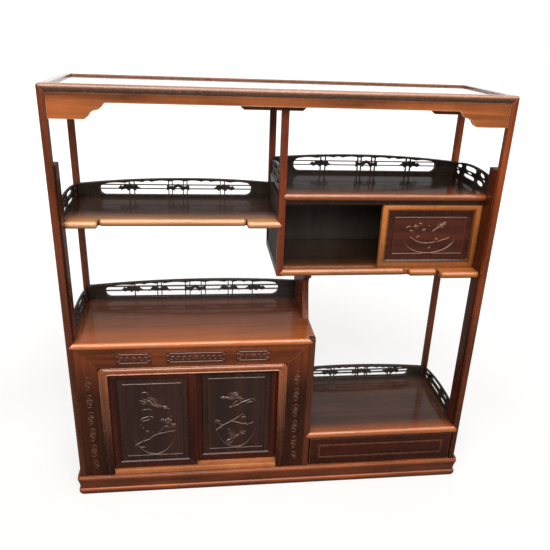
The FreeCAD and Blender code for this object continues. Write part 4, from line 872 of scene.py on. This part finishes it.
def row_of_scrolls():
    """A tree that repeats a small scroll and its curl along a row, each turned half way round from the last."""
    tree = bpy.data.node_groups.new("row of scrolls", "GeometryNodeTree")
    tree.interface.new_socket("Geometry", in_out="OUTPUT", socket_type="NodeSocketGeometry")
    for label, kind in (("Count", "Int"), ("Start", "Vector"), ("Step", "Vector"), ("Scroll Radius", "Float"),
                        ("Eye Radius", "Float"), ("Stroke Radius", "Float"), ("Flatness", "Float"),
                        ("Curl Radius", "Float"), ("Curl Place", "Vector"), ("Wood", "Material")):
        tree.interface.new_socket(label, in_out="INPUT", socket_type="NodeSocket" + kind)

    w = Wiring(tree)
    sizes = w.add("NodeGroupInput").outputs
    stroke = w.out("GeometryNodeCurvePrimitiveCircle", {"Radius": sizes["Stroke Radius"], "Resolution": 6})
    scroll_line = w.out("GeometryNodeCurveSpiral", {
        "Start Radius": sizes["Eye Radius"], "End Radius": sizes["Scroll Radius"], "Resolution": 14,
        "Rotations": 1.3, "Height": 0.0})
    curl_line = w.out("GeometryNodeCurveSpiral", {
        "Start Radius": sizes["Eye Radius"], "End Radius": sizes["Curl Radius"], "Resolution": 10,
        "Rotations": 0.9, "Height": 0.0})
    curl_line = w.out("GeometryNodeTransform", {"Geometry": curl_line, "Translation": sizes["Curl Place"]})
    lines = w.add("GeometryNodeJoinGeometry", {"Geometry": scroll_line})
    w.links.new(curl_line, lines.inputs[0])
    rods = w.out("GeometryNodeCurveToMesh", {
        "Curve": lines.outputs[0], "Profile Curve": stroke, "Fill Caps": True})
    flat = w.out("ShaderNodeCombineXYZ", {0: 1.0, 1: 1.0, 2: sizes["Flatness"]})
    rods = w.out("GeometryNodeTransform", {"Geometry": rods, "Scale": flat})
    rods = w.out("GeometryNodeTransform", {"Geometry": rods, "Rotation": (math.pi / 2, 0.0, 0.0)})
    places = w.out("GeometryNodeMeshLine", {
        "Count": sizes["Count"], "Start Location": sizes["Start"], "Offset": sizes["Step"]})
    odd = w.math("MODULO", w.out("GeometryNodeInputIndex"), 2.0)
    turned = w.out("ShaderNodeCombineXYZ", {1: w.math("MULTIPLY", odd, math.pi)})
    row = w.out("GeometryNodeInstanceOnPoints", {"Points": places, "Instance": rods, "Rotation": turned})
    row = w.out("GeometryNodeRealizeInstances", {"Geometry": row})
    row = w.out("GeometryNodeSetMaterial", {"Geometry": row, "Material": sizes["Wood"]})
    w.add("NodeGroupOutput", {0: row})
    return tree


def scroll_row(name, tree, body, slot, **sizes):
    """A plain mesh of one row of scrolls."""
    seed = bpy.data.objects.new(name + "_row", bpy.data.meshes.new(name))
    bpy.context.scene.collection.objects.link(seed)
    modifier = seed.modifiers.new("scrolls", "NODES")
    modifier.node_group = tree
    for socket in tree.interface.items_tree:
        if socket.in_out == "INPUT":
            modifier[socket.identifier] = sizes[socket.name.lower().replace(" ", "_")]
    mesh = bpy.data.meshes.new_from_object(seed.evaluated_get(bpy.context.evaluated_depsgraph_get()))
    bpy.data.objects.remove(seed)
    mesh.name = name
    close_shell(mesh)
    lift = np.full(len(mesh.vertices), ROW_LIFT)
    mesh.attributes.new("lift", "FLOAT", "POINT").data.foreach_set("value", lift)
    placed(name, mesh, body, slot)


face_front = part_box("cabinet_face_frame")[0].y
scrolls = row_of_scrolls()
for side, centre in ROW_CENTRES.items():
    scroll_row("face_stile_scrolls_" + side, scrolls, "cabinet", "face_wood", count=ROW_COUNT,
               start=(centre, face_front, ROW_START), step=(0.0, 0.0, ROW_STEP), scroll_radius=0.0078,
               eye_radius=0.0016, stroke_radius=0.0014, flatness=0.55, curl_radius=0.0042,
               curl_place=(0.0035, -0.0125, 0.0), wood=stile_carving_wood)
carve_left_door()
carve_right_door()
carve_box_door()
carve_face_rail()


# Studio

LAMP_WARMTH = (1.0, 0.94, 0.87)
FLOOR_SIZE = 30.0
# how far from the object the floor's own pale colour has run into the white backdrop, and its level close by
FLOOR_RUN, FLOOR_LEVEL = (0.8, 2.2), 0.66
ROOM_LEVEL = 0.34
# what the polish reflects: a window in front, and behind a bright band that falls off with its height
WINDOW_LEVEL, BACK_LEVEL = 6.0, 1.5
BACK_FALL = ((0.0, 1.0), (0.09, 1.0), (0.14, 0.16), (0.3, 0.09), (0.42, 0.22), (0.58, 0.22), (1.0, 0.08))
# the camera's place, turn and lens, fitted on the corners of the frame in the photograph
EYE = (-0.176, -1.371, 1.065)
YAW, PITCH, ROLL = 7.88, 23.77, -2.28
LENS, SHIFT = 40.15, (-0.0076, 0.0462)


def studio_floor():
    """A plain pale floor whose colour runs into the backdrop, and which keeps the shadow."""
    mesh = bpy.data.meshes.new("studio floor")
    corners = [(across * FLOOR_SIZE, along * FLOOR_SIZE, 0)
               for across, along in ((-1, -1), (1, -1), (1, 1), (-1, 1))]
    mesh.from_pydata(corners, [], [(0, 1, 2, 3)])
    floor = bpy.data.objects.new("studio_floor", mesh)
    bpy.context.scene.collection.objects.link(floor)
    t = Tree("pale studio floor")
    grain = t.noise(t.place, 3.0, 2.0)
    t.shade("Base Color", t.ramp(grain, [(0.0, tone(176, 175, 174)), (1.0, tone(184, 183, 182))]))
    t.shader.inputs["Roughness"].default_value = 0.75
    t.shader.inputs["Specular IOR Level"].default_value = 0.1
    path = t.add("ShaderNodeLightPath").outputs
    seen = t.math("MAXIMUM", path["Is Camera Ray"], path["Is Transmission Ray"])
    away = t.add("ShaderNodeVectorMath", {0: t.place}, operation="LENGTH").outputs["Value"]
    level = t.spread(away, *FLOOR_RUN, FLOOR_LEVEL, 1.0)
    glow = t.out("ShaderNodeEmission", {"Strength": t.math("MULTIPLY", seen, level)})
    both = t.out("ShaderNodeAddShader", {0: t.shader.outputs[0], 1: glow})
    t.links.new(both, t.nodes["Material Output"].inputs["Surface"])
    mesh.materials.append(t.material)


def studio_room():
    """A dim even room, whose backdrop is white to the camera and in the polish of the boards."""
    world = bpy.data.worlds.new("studio")
    bpy.context.scene.world = world
    world.use_nodes = True
    w = Wiring(world.node_tree)
    w.nodes.clear()

    def light(colour, strength):
        return w.out("ShaderNodeBackground", {"Color": colour, "Strength": strength})

    path = w.add("ShaderNodeLightPath").outputs
    direction = w.add("ShaderNodeTexCoord").outputs["Generated"]
    height = w.part_of(direction, 2)
    fall = w.ramp(height, [(place, (level, level, level, 1.0)) for place, level in BACK_FALL])
    window = w.math("MULTIPLY", w.spread(height, 0.3, 0.5), w.spread(height, 0.9, 1.0, 1.0, 0.1))
    window = w.spread(window, out_low=0.03, out_high=WINDOW_LEVEL)
    behind = w.spread(w.part_of(direction, 1), -0.1, 0.15)
    mirrored = w.spread(behind, out_low=window, out_high=w.math("MULTIPLY", fall, BACK_LEVEL))
    lit = w.out("ShaderNodeMixShader", {0: path["Is Glossy Ray"], 1: light((1.0, 0.985, 0.965, 1.0), ROOM_LEVEL),
                                        2: light((1.0, 0.99, 0.98, 1.0), mirrored)})
    seen = w.math("MAXIMUM", path["Is Camera Ray"], path["Is Transmission Ray"])
    final = w.out("ShaderNodeMixShader", {0: seen, 1: lit, 2: light((1.0, 1.0, 1.0, 1.0), 1.0)})
    w.add("ShaderNodeOutputWorld", {"Surface": final})


def lamp(name, place, aim, size, power, colour=(1.0, 1.0, 1.0)):
    light = bpy.data.lights.new(name, "AREA")
    light.shape = "RECTANGLE"
    light.size, light.size_y = size
    light.energy = power
    light.color = colour
    holder = bpy.data.objects.new(name, light)
    holder.location = place
    holder.rotation_euler = (Vector(aim) - Vector(place)).to_track_quat("-Z", "Y").to_euler()
    holder.visible_camera = False
    bpy.context.scene.collection.objects.link(holder)


def camera():
    """The photograph's viewpoint, fitted on the corners of the frame."""
    yaw, pitch, roll = math.radians(YAW), math.radians(PITCH), math.radians(ROLL)
    forward = Vector((math.sin(yaw) * math.cos(pitch), math.cos(yaw) * math.cos(pitch), -math.sin(pitch)))
    level = Vector((math.cos(yaw), -math.sin(yaw), 0.0))
    sunk = forward.cross(level)
    right = math.cos(roll) * level + math.sin(roll) * sunk
    down = -math.sin(roll) * level + math.cos(roll) * sunk
    turn = Matrix((right, -down, -forward)).transposed()
    data = bpy.data.cameras.new("camera")
    data.sensor_width = 36.0
    data.lens = LENS
    data.shift_x, data.shift_y = SHIFT
    data.clip_end = 100.0
    eye = bpy.data.objects.new("camera", data)
    eye.matrix_world = Matrix.Translation(EYE) @ turn.to_4x4()
    bpy.context.scene.collection.objects.link(eye)
    bpy.context.scene.camera = eye


studio_floor()
studio_room()
lamp("softbox above the front", place=(-0.15, -1.7, 1.75), aim=(0.0, 0.0, 0.6), size=(1.8, 0.9), power=40.0,
     colour=LAMP_WARMTH)
lamp("softbox above the back", place=(0.3, 1.2, 2.6), aim=(0.0, 0.0, 0.5), size=(1.6, 0.6), power=8.0)
camera()
bpy.context.scene.view_settings.view_transform = "Standard"
